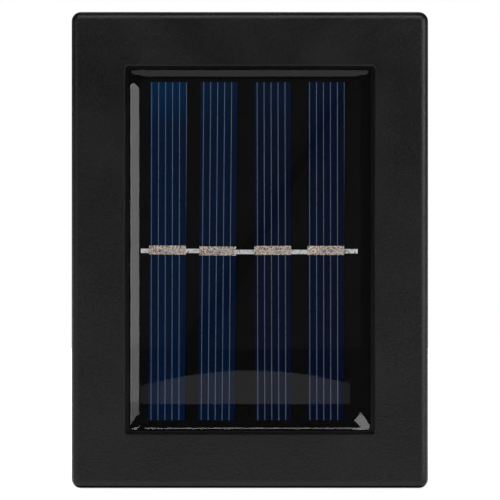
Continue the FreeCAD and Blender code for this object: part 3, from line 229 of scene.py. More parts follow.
# Cards on the floor that light the resin's lower shoulder, and a curved one that lights its corner.
for name, x, y, glow in (("floor_line_light", (-27, 27), (-52, -48), 2.4),
                         ("floor_left_light", (-60, -29), (-62, -42), 2.8)):
    card(name, level([v * MM for v in x], [v * MM for v in y], RESIN_CARD_Z), glow, resin_gloss)
RIGHT_EDGE = ((26, -43), (26.5, -50), (30.5, -56), (31.5, -75), (37, -296), (160, -253), (240, -165), (120, -43))
RIGHT_GLOW = 3.4
card("floor_right_light", [[(x * MM, y * MM, RESIN_CARD_Z) for x, y in RIGHT_EDGE]], RIGHT_GLOW, resin_gloss)
FOOT_RADIUS, FOOT_FACETS, FOOT_GLOW = 0.30, 12, 2.0
FOOT_FROM, FOOT_TO = 7.3, 56
FOOT_PEAK, FOOT_DROP = -0.0537, 0.0031
foot = round_about(FOOT_RADIUS, (FOOT_FROM, FOOT_TO), (CASE_CARD_Z, FOOT_PEAK), FOOT_FACETS)
for i, (_, _, right_top, left_top) in enumerate(foot):
    drops = [FOOT_DROP * (j / FOOT_FACETS) ** 2 for j in (i + 1, i)]
    foot[i][2:] = [(x, y, z - drop) for (x, y, z), drop in zip((right_top, left_top), drops)]
card("right_foot_light", foot, FOOT_GLOW, resin_gloss)

# Cards that shine on the rounded edges of the case, from both sides, from above and from the floor.
CASE_RADIUS, CASE_LOW = 0.6, -0.05
for name, span, top, facets, glow in (
    ("case_right_light", (28, 52), 0.25, 12, 1.5), ("case_right_edge_light", (52, 68), 0.25, 8, 3.4),
    ("case_left_light", (-38, -24), 0.15, 12, 0.15), ("case_left_edge_light", (-60, -40), 0.15, 8, 0.7),
):
    card(name, round_about(CASE_RADIUS, span, (CASE_LOW, top), facets), glow, case_gloss)
for name, half_w, y, z, glow in (
    ("case_top_light", 0.4, (-0.665, -0.313), 0.5, 2.1), ("case_top_far_light", 0.4, (-1.2, -0.665), 0.5, 0.5),
    ("case_floor_light", 0.5, (-0.5, -0.034), CASE_CARD_Z, 0.58),
):
    card(name, level((-half_w, half_w), y, z), glow, case_gloss)


def lamp(name, place, size, power):
    """Soft square lamp that faces the light. It lights surfaces and shows in no reflection."""
    light = bpy.data.lights.new(name, "AREA")
    light.shape = "SQUARE"
    light.size = size
    light.energy = power
    holder = new_object(name, light)
    holder.location = place
    holder.rotation_mode = "QUATERNION"
    holder.rotation_quaternion = (-Vector(place)).to_track_quat("-Z", "Y")
    holder.visible_camera = False
    holder.visible_glossy = False
    holder.visible_transmission = False
    return holder


for name, place, size, power in (
    ("front_left_lamp", (-0.7, -1.2, 0.05), 0.6, 10.5), ("front_right_lamp", (0.8, -1.1, 0.0), 0.6, 8.8),
    ("top_lamp", (0.0, -0.2, 1.2), 0.7, 2.0), ("rear_left_lamp", (-0.8, 1.1, 0.5), 0.6, 11),
    ("rear_right_lamp", (0.7, 1.2, 0.4), 0.6, 10),
):
    lamp(name, place, size, power)
# The pieces behind the upper window have a lamp of their own.
window_light = bpy.data.collections.new("window_light")
lamp("window_lamp", (0.1, -0.3, 0.9), 0.5, 9.0).light_linking.receiver_collection = window_light

# ---------------------------------------------------------------- case
# Tub, rear cover and keyhole cap, injection moulded in black ABS. The mould was spark eroded, so
# the skin is finely pitted and scatters light, a little more in some places than in others.
CASE_BLACK = (0.0052, 0.0052, 0.0053, 1)
CASE_BLACK_PALE = (0.0063, 0.0063, 0.0064, 1)
CASE_PIT = 0.00042


def new_group(name, inputs, outputs):
    """Shader node group with named inputs, and its input and output nodes."""
    tree = bpy.data.node_groups.new(name, "ShaderNodeTree")
    for label, value in inputs.items():
        kind = "NodeSocketColor" if isinstance(value, tuple) else "NodeSocketFloat"
        tree.interface.new_socket(label, in_out="INPUT", socket_type=kind).default_value = value
    for label, kind in outputs.items():
        tree.interface.new_socket(label, in_out="OUTPUT", socket_type=kind)
    return tree, tree.nodes.new("NodeGroupInput").outputs, tree.nodes.new("NodeGroupOutput").inputs


def colour_mix(tree, factor, a, b):
    return add(tree, "ShaderNodeMix", {"data_type": "RGBA"}, Factor=factor, i6=a, i7=b).outputs[2]


def times(tree, a, b):
    return maths(tree, "MULTIPLY", a, b)


def over(tree, a, b):
    return maths(tree, "DIVIDE", a, b)


# Skin of a moulded or dipped piece: cloudy colour and fine pits, with painted shade that darkens the colour in each
# pit and lightens it between them.
moulded_skin, given, out = new_group("moulded_skin", {
    "Colour": (0.5, 0.5, 0.5, 1), "Cloud colour": (0.5, 0.5, 0.5, 1), "Cloud size": 0.02, "Pit size": 0.0004,
    "Pit depth": 0.2, "Pit shade": 0.1, "Roughness": 0.5, "Roughness spread": 0.08,
}, {"Colour": "NodeSocketColor", "Roughness": "NodeSocketFloat", "Normal": "NodeSocketVector"})
place = add(moulded_skin, "ShaderNodeTexCoord").outputs["Object"]
cloud = add(moulded_skin, "ShaderNodeTexNoise", Vector=place, Scale=over(moulded_skin, 1.0, given["Cloud size"]),
            Detail=4.0).outputs[0]
pits = add(moulded_skin, "ShaderNodeTexNoise", Vector=place, Scale=over(moulded_skin, 1.0, given["Pit size"]),
           Detail=2.0, Roughness=0.6).outputs[0]
soft_cloud = add(moulded_skin, "ShaderNodeMapRange", i0=cloud, i1=0.35, i2=0.65).outputs[0]
grainy = colour_mix(moulded_skin, soft_cloud, given["Colour"], given["Cloud colour"])
# Painted shade: the colour is darker where the pits are deep and lighter where the skin stands high.
shade = add(moulded_skin, "ShaderNodeMapRange", i0=pits, i1=0.3, i2=0.7,
            i3=maths(moulded_skin, "SUBTRACT", 1.0, given["Pit shade"]),
            i4=maths(moulded_skin, "ADD", 1.0, given["Pit shade"])).outputs[0]
shaded = add(moulded_skin, "ShaderNodeVectorMath", {"operation": "SCALE"}, i0=grainy, i3=shade).outputs[0]
moulded_skin.links.new(shaded, out["Colour"])
spread = add(moulded_skin, "ShaderNodeMapRange", i0=cloud, i1=0.3, i2=0.7,
             i3=times(moulded_skin, given["Roughness spread"], -1.0), i4=given["Roughness spread"]).outputs[0]
moulded_skin.links.new(maths(moulded_skin, "ADD", given["Roughness"], spread), out["Roughness"])
bump = add(moulded_skin, "ShaderNodeBump", Strength=given["Pit depth"], Distance=times(
    moulded_skin, given["Pit size"], 0.4), Height=pits)
moulded_skin.links.new(bump.outputs[0], out["Normal"])


def finish_of(name, group, values, **plain):
    """Material whose colour, roughness and normal come from a group, and the rest from plain values."""
    material = bpy.data.materials.new(name)
    material.use_nodes = True
    tree = material.node_tree
    shader = tree.nodes["Principled BSDF"]
    for socket, value in plain.items():
        shader.inputs[socket.replace("_", " ")].default_value = value
    box = tree.nodes.new("ShaderNodeGroup")
    box.node_tree = group
    for label, value in values.items():
        box.inputs[label].default_value = value
    tree.links.new(box.outputs["Colour"], shader.inputs["Base Color"])
    tree.links.new(box.outputs["Roughness"], shader.inputs["Roughness"])
    tree.links.new(box.outputs["Normal"], shader.inputs["Normal"])
    return material


def dress(material, *names):
    """Gives CAD pieces their finish."""
    for name in names:
        nodes[name].material_slots[0].material = material


# The case's pits get strong painted shade in its colour.
black_abs = finish_of("black_abs", moulded_skin, {
    "Colour": CASE_BLACK, "Cloud colour": CASE_BLACK_PALE, "Cloud size": 0.018, "Pit size": CASE_PIT,
    "Pit depth": 0.50, "Pit shade": 0.55, "Roughness": 0.33, "Roughness spread": 0.05,
}, Specular_IOR_Level=0.5)
dress(black_abs, "front_housing", "rear_cover", "keyhole_cap")
for name in ("front_housing", "rear_cover"):
    case_gloss.objects.link(nodes[name])

# ---------------------------------------------------------------- gasket
# Solid silicone cord that lies in the groove between the tub and the cover. It is cut from an
# extruded length, so it has a satin skin.
silicone = finish_of("grey_silicone", moulded_skin, {
    "Colour": (0.10, 0.10, 0.105, 1), "Cloud colour": (0.13, 0.13, 0.13, 1), "Cloud size": 0.006,
    "Pit size": 0.0002, "Pit depth": 0.1, "Roughness": 0.45, "Roughness spread": 0.08,
}, Subsurface_Weight=0.05)
dress(silicone, "cover_gasket")

# ---------------------------------------------------------------- screws
# Pan-head tapping screws of stainless steel with a cross recess: four large ones hold the rear
# cover, and small ones hold the reflectors, the circuit board and the battery holder.
HEAD_RINGS = 7
THREAD_FACETS = 20
SHARP_ANGLE = math.radians(38)


def smooth_mesh(name, bm):
    """Mesh with its faces turned outwards and shaded smooth."""
    bmesh.ops.recalc_face_normals(bm, faces=bm.faces)
    for face in bm.faces:
        face.smooth = True
    mesh = bpy.data.meshes.new(name)
    bm.to_mesh(mesh)
    bm.free()
    return mesh


def screw_mesh(name, head_r, head_h, shank_r, length):
    """Screw along Y with its seat at the origin and its head towards +Y."""
    bm = bmesh.new()
    profile = [(0.0, -length), (shank_r * 0.35, -length * 0.97), (shank_r * 0.86, -length * 0.86)]
    pitch = shank_r * 0.75
    along = -length * 0.86
    while along < -pitch * 1.6:
        profile += [(shank_r, along + pitch * 0.42), (shank_r * 0.84, along + pitch * 0.8)]
        along += pitch
    profile += [(shank_r * 0.9, 0.0), (head_r * 0.96, 0.0), (head_r, head_h * 0.08)]
    for i in range(1, HEAD_RINGS + 1):
        turned = math.pi / 2 * i / HEAD_RINGS
        radius = head_r * (0.62 + 0.38 * math.cos(turned))
        profile.append((radius, head_h * (0.1 + 0.9 * math.sin(turned) ** 0.8)))
    profile[-1] = (head_r * 0.62, head_h)
    rings = []
    for radius, y in profile[1:]:
        rings.append([bm.verts.new((radius * math.cos(a), y, -radius * math.sin(a))) for a in
                      (2 * math.pi * i / THREAD_FACETS for i in range(THREAD_FACETS))])
    tip = bm.verts.new((0, profile[0][1], 0))
    for a, b in zip(rings, rings[1:]):
        for i in range(THREAD_FACETS):
            j = (i + 1) % THREAD_FACETS
            bm.faces.new((a[i], a[j], b[j], b[i]))
    for i in range(THREAD_FACETS):
        bm.faces.new((rings[0][(i + 1) % THREAD_FACETS], rings[0][i], tip))
    arm, half, depth = head_r * 0.52, head_r * 0.11, head_h * 0.55
    cross = [(half, half), (arm, half), (arm, -half), (half, -half), (half, -arm), (-half, -arm), (-half, -half),
             (-arm, -half), (-arm, half), (-half, half), (-half, arm), (half, arm)]
    top = [bm.verts.new((x, head_h, z)) for x, z in cross]
    low = [bm.verts.new((x * 0.72, head_h - depth, z * 0.72)) for x, z in cross]
    for i in range(len(cross)):
        j = (i + 1) % len(cross)
        bm.faces.new((top[i], top[j], low[j], low[i]))
    bm.faces.new(low)
    rim = rings[-1]
    edges = [bm.edges.get((rim[i], rim[(i + 1) % THREAD_FACETS])) for i in range(THREAD_FACETS)]
    edges += [bm.edges.get((top[i], top[(i + 1) % len(top)])) for i in range(len(top))]
    bmesh.ops.triangle_fill(bm, edges=edges, use_beauty=True, use_dissolve=False)
    mesh = smooth_mesh(name, bm)
    mesh.set_sharp_from_angle(angle=SHARP_ANGLE)
    return mesh


def repeat_tree(name):
    """Geometry Nodes that set a piece on every given point, each turned a little about its own axis."""
    tree = bpy.data.node_groups.new(name, "GeometryNodeTree")
    sockets = tree.interface.new_socket
    sockets("Geometry", in_out="INPUT", socket_type="NodeSocketGeometry")
    sockets("Piece", in_out="INPUT", socket_type="NodeSocketObject")
    sockets("Finish", in_out="INPUT", socket_type="NodeSocketMaterial")
    sockets("Turn", in_out="INPUT", socket_type="NodeSocketVector")
    sockets("Seed", in_out="INPUT", socket_type="NodeSocketInt")
    sockets("Geometry", in_out="OUTPUT", socket_type="NodeSocketGeometry")
    given = tree.nodes.new("NodeGroupInput").outputs
    end = tree.nodes.new("NodeGroupOutput").inputs
    piece = add(tree, "GeometryNodeObjectInfo", Object=given["Piece"]).outputs["Geometry"]
    least = add(tree, "ShaderNodeVectorMath", {"operation": "SCALE"}, i0=given["Turn"], i3=-1.0).outputs[0]
    turn = add(tree, "FunctionNodeRandomValue", {"data_type": "FLOAT_VECTOR"}, i0=least, i1=given["Turn"],
               Seed=given["Seed"]).outputs[0]
    spin = add(tree, "FunctionNodeEulerToRotation", Euler=turn).outputs[0]
    placed = add(tree, "GeometryNodeInstanceOnPoints", Points=given["Geometry"], Instance=piece, Rotation=spin)
    real = add(tree, "GeometryNodeRealizeInstances", Geometry=placed.outputs[0])
    dressed = add(tree, "GeometryNodeSetMaterial", Geometry=real.outputs[0], Material=given["Finish"])
    tree.links.new(dressed.outputs[0], end["Geometry"])
    return tree


repeat = repeat_tree("repeated_piece")


def made_by(tree, name, points, values):
    """Plain mesh object that Geometry Nodes make from points and named inputs."""
    seeds = bpy.data.meshes.new(name + "_points")
    seeds.from_pydata(points, [], [])
    maker = new_object(name + "_maker", seeds)
    modifier = maker.modifiers.new("maker", "NODES")
    modifier.node_group = tree
    for item in tree.interface.items_tree:
        if item.item_type == "SOCKET" and item.in_out == "INPUT" and item.name in values:
            modifier[item.identifier] = values[item.name]
    bpy.context.view_layer.update()
    made = bpy.data.meshes.new_from_object(maker.evaluated_get(bpy.context.evaluated_depsgraph_get()))
    made.name = name
    bpy.data.objects.remove(maker)
    return new_object(name, made)


def set_out(name, mesh, points, finish, body, replaced, turn=(0, 0, 0), seed=1):
    """Like pieces at points, on one body, in place of CAD nodes."""
    pattern = new_object(name + "_pattern", mesh)
    piece = made_by(repeat, name, points, {"Piece": pattern, "Finish": finish, "Turn": turn, "Seed": seed})
    bpy.data.objects.remove(pattern)
    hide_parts(*replaced)
    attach(piece, body)


# Drawn or rolled metal: fine scratches, cloudy tarnish and a rougher skin where it is tarnished.
worked_metal, given, out = new_group("worked_metal", {
    "Colour": (0.6, 0.6, 0.6, 1), "Tarnish colour": (0.3, 0.3, 0.3, 1), "Tarnish": 0.4, "Mottle size": 0.0015,
    "Roughness": 0.25, "Tarnished roughness": 0.5, "Scratch size": 0.0002, "Scratch depth": 0.2,
}, {"Colour": "NodeSocketColor", "Roughness": "NodeSocketFloat", "Normal": "NodeSocketVector"})
place = add(worked_metal, "ShaderNodeTexCoord").outputs["Object"]
mottle = add(worked_metal, "ShaderNodeTexNoise", Vector=place, Scale=over(worked_metal, 1.0, given["Mottle size"]),
             Detail=5.0, Roughness=0.62).outputs[0]
edge = add(worked_metal, "ShaderNodeMapRange", i0=given["Tarnish"], i3=0.70, i4=0.34).outputs[0]
tarnished = soft_step(worked_metal, mottle, edge, maths(worked_metal, "ADD", edge, 0.12))
worked_metal.links.new(colour_mix(worked_metal, tarnished, given["Colour"], given["Tarnish colour"]), out["Colour"])
worked_metal.links.new(blend_values(worked_metal, tarnished, given["Roughness"], given["Tarnished roughness"]),
                       out["Roughness"])
scratch = add(worked_metal, "ShaderNodeTexNoise", Vector=place, Scale=over(worked_metal, 1.0, given["Scratch size"]),
              Detail=3.0).outputs[0]
bump = add(worked_metal, "ShaderNodeBump", Strength=given["Scratch depth"], Distance=times(
    worked_metal, given["Scratch size"], 0.3), Height=scratch)
worked_metal.links.new(bump.outputs[0], out["Normal"])

stainless = finish_of("stainless_steel", worked_metal, {
    "Colour": (0.55, 0.55, 0.56, 1), "Tarnish colour": (0.40, 0.39, 0.38, 1), "Tarnish": 0.35,
    "Mottle size": 0.0012, "Roughness": 0.28, "Tarnished roughness": 0.42, "Scratch size": 0.00025,
    "Scratch depth": 0.15,
}, Metallic=1.0)


large_screw = screw_mesh("large_screw", head_r=2.8 * MM, head_h=1.8 * MM, shank_r=1.45 * MM, length=12.0 * MM)
small_screw = screw_mesh("small_screw", head_r=1.9 * MM, head_h=1.2 * MM, shank_r=0.95 * MM, length=6.0 * MM)
ANY_TURN = (0, math.pi, 0)
# What each set of screws holds, its node, its screw, its seats as x, y and z in mm, and its seed.
for held, node, screw, (places_x, seat_y, places_z), seed in (
    ("cover", "cover_screws", large_screw, ((-36.7, 36.7), -2.4, (-51.8, 51.8)), 3),
    ("reflectors", "reflector_screws", small_screw, ((-34.0, 34.0), -10.0, (-44.5, 44.5)), 5),
    ("board", "board_screws", small_screw, ((-20.0, 20.0), -15.0, (-6.0, 30.0)), 7),
    ("holder", "holder_screws", small_screw, ((-32.4, 32.4), -22.77, (-25.0,)), 9),
):
    seats = [(x * MM, seat_y * MM, z * MM) for x in places_x for z in places_z]
    set_out("cross_screws_of_" + held, screw, seats, stainless, "case", [node], ANY_TURN, seed)

# ---------------------------------------------------------------- panel board and tape
# Glass-fibre board with a black mask that carries the solar cells. White foam tape holds it in
# the recess of the case, and two solder pads join its leads behind.
printed_board, given, out = new_group("printed_board", {
    "Colour": (0.5, 0.5, 0.5, 1), "Weave colour": (0.5, 0.5, 0.5, 1), "Weave size": 0.0007, "Weave depth": 0.15,
    "Roughness": 0.4,
}, {"Colour": "NodeSocketColor", "Roughness": "NodeSocketFloat", "Normal": "NodeSocketVector"})
place = add(printed_board, "ShaderNodeTexCoord").outputs["Object"]
apart = add(printed_board, "ShaderNodeSeparateXYZ", i0=place).outputs
threads = []
for axis in (0, 2):
    turned = times(printed_board, over(printed_board, apart[axis], given["Weave size"]), 2 * math.pi)
    threads.append(maths(printed_board, "SINE", turned, 0.0))
woven = times(printed_board, threads[0], threads[1])
patches = add(printed_board, "ShaderNodeTexNoise", Vector=place, Scale=140.0, Detail=4.0).outputs[0]
weave = add(printed_board, "ShaderNodeMapRange", i0=woven, i1=-1.0, i2=1.0).outputs[0]
worn = times(printed_board, weave, patches)
printed_board.links.new(colour_mix(printed_board, worn, given["Colour"], given["Weave colour"]), out["Colour"])
rough = add(printed_board, "ShaderNodeMapRange", i0=patches, i3=times(printed_board, given["Roughness"], 0.8),
            i4=times(printed_board, given["Roughness"], 1.25))
printed_board.links.new(rough.outputs[0], out["Roughness"])
bump = add(printed_board, "ShaderNodeBump", Strength=given["Weave depth"], Distance=0.00005, Height=weave)
printed_board.links.new(bump.outputs[0], out["Normal"])

black_mask = finish_of("black_masked_board", printed_board, {
    "Colour": (0.0030, 0.0029, 0.0030, 1), "Weave colour": (0.0055, 0.0053, 0.0054, 1), "Weave size": 0.0008,
    "Weave depth": 0.1, "Roughness": 0.6,
}, Specular_IOR_Level=0.0)
dress(black_mask, "panel_board")
foam_tape = finish_of("white_foam_tape", moulded_skin, {
    "Colour": (0.72, 0.72, 0.69, 1), "Cloud colour": (0.78, 0.78, 0.76, 1), "Cloud size": 0.008,
    "Pit size": 0.0003, "Pit depth": 0.6, "Roughness": 0.85, "Roughness spread": 0.05,
})
dress(foam_tape, "panel_tape")

# ---------------------------------------------------------------- solar cells
# Four strips sawn from one monocrystalline wafer. Their blue-black coating has faint streaks from
# the wafer's texture bath, and looks a little more teal at the top. No two strips are quite alike.
blue_coat, given, out = new_group("blue_coat", {
    "Colour": (0.01, 0.01, 0.01, 1), "Streak colour": (0.01, 0.01, 0.01, 1), "Top colour": (0.01, 0.01, 0.01, 1),
    "Top from": 0.028, "Top to": 0.046, "Roughness": 0.35,
}, {"Colour": "NodeSocketColor", "Roughness": "NodeSocketFloat", "Normal": "NodeSocketVector"})
place = add(blue_coat, "ShaderNodeTexCoord").outputs["Object"]
upright = add(blue_coat, "ShaderNodeMapping", Vector=place, Scale=(900.0, 300.0, 16.0)).outputs[0]
streak = add(blue_coat, "ShaderNodeTexNoise", Vector=upright, Scale=1.0, Detail=4.0, Roughness=0.6).outputs[0]
body = colour_mix(blue_coat, soft_step(blue_coat, streak, 0.38, 0.66), given["Colour"], given["Streak colour"])
height = add(blue_coat, "ShaderNodeSeparateXYZ", i0=place).outputs[2]
wander = add(blue_coat, "ShaderNodeTexNoise", Vector=place, Scale=90.0, Detail=3.0).outputs[0]
shifted = maths(blue_coat, "ADD", height, blend_values(blue_coat, wander, -0.006, 0.006))
toned = soft_step(blue_coat, shifted, given["Top from"], given["Top to"])
coat = colour_mix(blue_coat, toned, body, given["Top colour"])
grain = add(blue_coat, "ShaderNodeTexNoise", Vector=place, Scale=9000.0, Detail=2.0).outputs[0]
shaded = add(blue_coat, "ShaderNodeVectorMath", {"operation": "SCALE"}, i0=coat,
             i3=blend_values(blue_coat, grain, 0.78, 1.22)).outputs[0]
blue_coat.links.new(shaded, out["Colour"])
blue_coat.links.new(blend_values(blue_coat, streak, times(blue_coat, given["Roughness"], 0.85), times(
    blue_coat, given["Roughness"], 1.15)), out["Roughness"])
bump = add(blue_coat, "ShaderNodeBump", Strength=0.12, Distance=0.00003, Height=grain)
blue_coat.links.new(bump.outputs[0], out["Normal"])

CELL_COLOURS = {
    "solar_cell_1": ((0.0009, 0.0080, 0.0305, 1), (0.0014, 0.0076, 0.0250, 1), (0.0010, 0.0190, 0.0570, 1)),
    "solar_cell_2": ((0.0011, 0.0072, 0.0260, 1), (0.0018, 0.0066, 0.0210, 1), (0.0019, 0.0120, 0.0350, 1)),
    "solar_cell_3": ((0.0021, 0.0049, 0.0165, 1), (0.0028, 0.0049, 0.0150, 1), (0.0019, 0.0086, 0.0240, 1)),
    "solar_cell_4": ((0.0017, 0.0043, 0.0165, 1), (0.0024, 0.0042, 0.0145, 1), (0.0020, 0.0066, 0.0215, 1)),
}
for strip, (colour, streak_colour, top_colour) in CELL_COLOURS.items():
    dress(finish_of("blue_coat_of_" + strip, blue_coat, {
        "Colour": colour, "Streak colour": streak_colour, "Top colour": top_colour, "Roughness": 0.4,
    }, Specular_IOR_Level=0.0), strip)

# ---------------------------------------------------------------- printed fingers and pads
# Thin silver fingers are screen printed along each strip and fired, and a wider pad of silver and
# aluminium crosses them half way up. The print is grainy, and the pads have gone beige.
fired_silver = finish_of("fired_silver", worked_metal, {
    "Colour": (0.094, 0.120, 0.180, 1), "Tarnish colour": (0.058, 0.075, 0.118, 1), "Tarnish": 0.45,
    "Mottle size": 0.0010, "Roughness": 0.5, "Tarnished roughness": 0.65, "Scratch size": 0.00012,
    "Scratch depth": 0.3,
}, Specular_IOR_Level=0.1)
dress(fired_silver, "cell_fingers")
PAD_HALF_W = 4.65
PAD_CENTRES_X = (-20.73, -8.12, 5.76, 19.1)
SMEARS = ((-21.2, -0.35, 2.3), (-8.0, -0.6, 2.7), (6.7, -0.45, 1.6), (19.6, -0.3, 2.2))
SMEAR_HALF_H = 0.55
# Fired print under a hand-soldered ribbon: coarse light and dark grains, with smears of flux.
tacked_print, given, out = new_group("tacked_print", {
    "Light grain": (0.5, 0.5, 0.5, 1), "Dark grain": (0.1, 0.1, 0.1, 1), "Grain size": 0.0002,
    "Flux": (0.1, 0.1, 0.1, 1), "Tin": (0.6, 0.6, 0.6, 1), "Dull tin": (0.2, 0.2, 0.2, 1), "Tin shows": 0.0,
    "Roughness": 0.5,
}, {"Colour": "NodeSocketColor", "Roughness": "NodeSocketFloat", "Normal": "NodeSocketVector"})


def sums(kind, a, b):
    return maths(tacked_print, kind, a, b)


def step_between(value, low, high):
    return soft_step(tacked_print, value, low, high)


place = add(tacked_print, "ShaderNodeTexCoord").outputs["Object"]
across, _, up = add(tacked_print, "ShaderNodeSeparateXYZ", i0=place).outputs
grain = add(tacked_print, "ShaderNodeTexNoise", Vector=place, Scale=over(tacked_print, 1.0, given["Grain size"]),
            Detail=1.5, Roughness=0.7).outputs[0]
patch = add(tacked_print, "ShaderNodeTexNoise", Vector=place, Scale=1500.0, Detail=4.0, Roughness=0.65).outputs[0]
print_colour = colour_mix(tacked_print, step_between(grain, 0.40, 0.60), given["Dark grain"], given["Light grain"])
tin_colour = colour_mix(tacked_print, step_between(patch, 0.53, 0.62), given["Tin"], given["Dull tin"])
ragged = blend_values(tacked_print, patch, -0.0006, 0.0006)
covered, smeared = 0.0, 0.0
for pad_x, (smear_x, smear_z, half_w) in zip(PAD_CENTRES_X, SMEARS):
    away = sums("ADD", sums("ABSOLUTE", sums("SUBTRACT", across, pad_x * MM), 0.0), ragged)
    covered = sums("MAXIMUM", covered, step_between(away, PAD_HALF_W * MM, (PAD_HALF_W - 0.4) * MM))
    wide = sums("POWER", sums("DIVIDE", sums("SUBTRACT", across, smear_x * MM), half_w * MM), 2.0)
    high = sums("POWER", sums("DIVIDE", sums("SUBTRACT", up, smear_z * MM), SMEAR_HALF_H * MM), 2.0)
    smeared = sums("MAXIMUM", smeared, step_between(sums("ADD", wide, high), 1.2, 0.3))
flux = sums("MULTIPLY", smeared, step_between(patch, 0.44, 0.56))
bare = sums("MULTIPLY", given["Tin shows"], sums("SUBTRACT", 1.0, sums("MULTIPLY", covered, 0.78)))
both = colour_mix(tacked_print, bare, print_colour, tin_colour)
tacked_print.links.new(colour_mix(tacked_print, sums("MULTIPLY", flux, 0.8), both, given["Flux"]), out["Colour"])
tacked_print.links.new(blend_values(tacked_print, patch, sums("MULTIPLY", given["Roughness"], 0.7), sums(
    "MULTIPLY", given["Roughness"], 1.3)), out["Roughness"])
bump = add(tacked_print, "ShaderNodeBump", Strength=0.4, Distance=0.00004, Height=sums("ADD", grain, patch))
tacked_print.links.new(bump.outputs[0], out["Normal"])

LIGHT_GRAIN, DARK_GRAIN = (0.60, 0.51, 0.44, 1), (0.120, 0.098, 0.084, 1)
FLUX = (0.115, 0.095, 0.135, 1)
pad_print = finish_of("speckled_pad_print", tacked_print, {
    "Light grain": LIGHT_GRAIN, "Dark grain": DARK_GRAIN, "Grain size": 0.00030, "Flux": FLUX, "Roughness": 0.6,
}, Specular_IOR_Level=0.1)
dress(pad_print, "contact_pads")

# ---------------------------------------------------------------- ribbons and solder
# Short tinned copper ribbons join the pads in a row and go through the board at both ends. They
# were tacked by hand with an iron, so the tin is smeared and dull in places.
tinned_copper = finish_of("tinned_copper", tacked_print, {
    "Light grain": LIGHT_GRAIN, "Dark grain": DARK_GRAIN, "Grain size": 0.00030, "Flux": FLUX,
    "Tin": (0.60, 0.60, 0.61, 1), "Dull tin": (0.14, 0.14, 0.145, 1), "Tin shows": 1.0, "Roughness": 0.4,
}, Metallic=0.15)
dress(tinned_copper, "tab_ribbons")
tin_solder = finish_of("tin_solder", worked_metal, {
    "Colour": (0.60, 0.60, 0.61, 1), "Tarnish colour": (0.34, 0.33, 0.33, 1), "Tarnish": 0.3,
    "Mottle size": 0.0007, "Roughness": 0.22, "Tarnished roughness": 0.5, "Scratch size": 0.0003,
    "Scratch depth": 0.2,
}, Metallic=1.0)
dress(tin_solder, "panel_terminals", "solder_joints")

# ---------------------------------------------------------------- resin coat
# Clear epoxy poured over the board and left to cure. Surface tension rounds its shoulder down to
# a thin wall at the edge, and its flat top is very slightly wavy.
RESIN_HALF = (30.25, 45.45)
RESIN_FOOT_Y, RESIN_TOP_Y = -35.78, -37.9
FOOT_RING, WALL_RING, TOP_RING = 0.05, 0.06, 0.05
SHOULDER, SHOULDER_SLOPE = 2.6, math.radians(30)
SHOULDER_STEPS = 12
RESIN_CORNER, RESIN_TOP_CORNER = 1.0, 2.6
CORNER_STEPS = 8
STRAIGHT_END = 0.2


def outline(half_w, half_h, corner, y):
    """Rounded rectangle. Each side gets a point just beyond its corners, so that it shades flat."""
    points = []
    for sx, sz, start in ((1, 1, 0), (1, -1, 90), (-1, -1, 180), (-1, 1, 270)):
        turned = [math.radians(start + 90 * i / CORNER_STEPS) for i in range(CORNER_STEPS + 1)]
        arc = [Vector((math.sin(a), math.cos(a))) * corner for a in turned]
        before = arc[0] + Vector((-math.cos(turned[0]), math.sin(turned[0]))) * STRAIGHT_END
        after = arc[-1] + Vector((math.cos(turned[-1]), -math.sin(turned[-1]))) * STRAIGHT_END
        for p in [before] + arc + [after]:
            points.append(Vector((sx * (half_w - corner) + p.x, y, sz * (half_h - corner) + p.y)) * MM)
    return points


def stacked(name, rings):
    """Closed solid from outlines with the same number of points, from back to front."""
    bm = bmesh.new()
    loops = [[bm.verts.new(p) for p in ring] for ring in rings]
    for a, b in zip(loops, loops[1:]):
        for i in range(len(a)):
            j = (i + 1) % len(a)
            bm.faces.new((a[i], a[j], b[j], b[i]))
    bm.faces.new(loops[0])
    bm.faces.new(loops[-1])
    return new_object(name, smooth_mesh(name, bm))


bend = SHOULDER / math.sin(SHOULDER_SLOPE)
edge_y = RESIN_TOP_Y + bend * (1 - math.cos(SHOULDER_SLOPE))
upright = (RESIN_FOOT_Y, RESIN_FOOT_Y - FOOT_RING, edge_y + WALL_RING)
sections = [outline(*RESIN_HALF, RESIN_CORNER, y) for y in upright]
for step in range(SHOULDER_STEPS + 1):
    turned = SHOULDER_SLOPE * (1 - step / SHOULDER_STEPS)
    inset = SHOULDER - bend * math.sin(turned)
    corner = RESIN_CORNER + (RESIN_TOP_CORNER - RESIN_CORNER) * inset / SHOULDER
    y = RESIN_TOP_Y + bend * (1 - math.cos(turned))
    sections.append(outline(RESIN_HALF[0] - inset, RESIN_HALF[1] - inset, corner, y))
top_inset = SHOULDER + TOP_RING
sections.append(outline(RESIN_HALF[0] - top_inset, RESIN_HALF[1] - top_inset, RESIN_TOP_CORNER, RESIN_TOP_Y))
resin = stacked("domed_resin", sections)


def clear_plastic(name, group, values, index, roughness, tint=(1, 1, 1, 1)):
    """Clear resin or plastic that lets the lamps' light through."""
    material = finish_of(name, group, values, IOR=index, Transmission_Weight=1.0)
    tree = material.node_tree
    shader = tree.nodes["Principled BSDF"]
    for link in list(tree.links):
        if link.to_socket in (shader.inputs["Base Color"], shader.inputs["Roughness"]):
            tree.links.remove(link)
    shader.inputs["Base Color"].default_value = tint
    shader.inputs["Roughness"].default_value = roughness
    lit = add(tree, "ShaderNodeBsdfTransparent", Color=tint)
    path = add(tree, "ShaderNodeLightPath").outputs["Is Shadow Ray"]
    both = add(tree, "ShaderNodeMixShader", Fac=path, i1=shader.outputs[0], i2=lit.outputs[0])
    tree.links.new(both.outputs[0], tree.nodes["Material Output"].inputs["Surface"])
    return material


clear_resin = clear_plastic("clear_epoxy", moulded_skin, {
    "Pit size": 0.011, "Pit depth": 0.00025, "Cloud size": 0.02,
}, 1.52, 0.01)
resin.data.materials.append(clear_resin)
resin_gloss.objects.link(resin)
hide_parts("resin_coat")
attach(resin, "case")

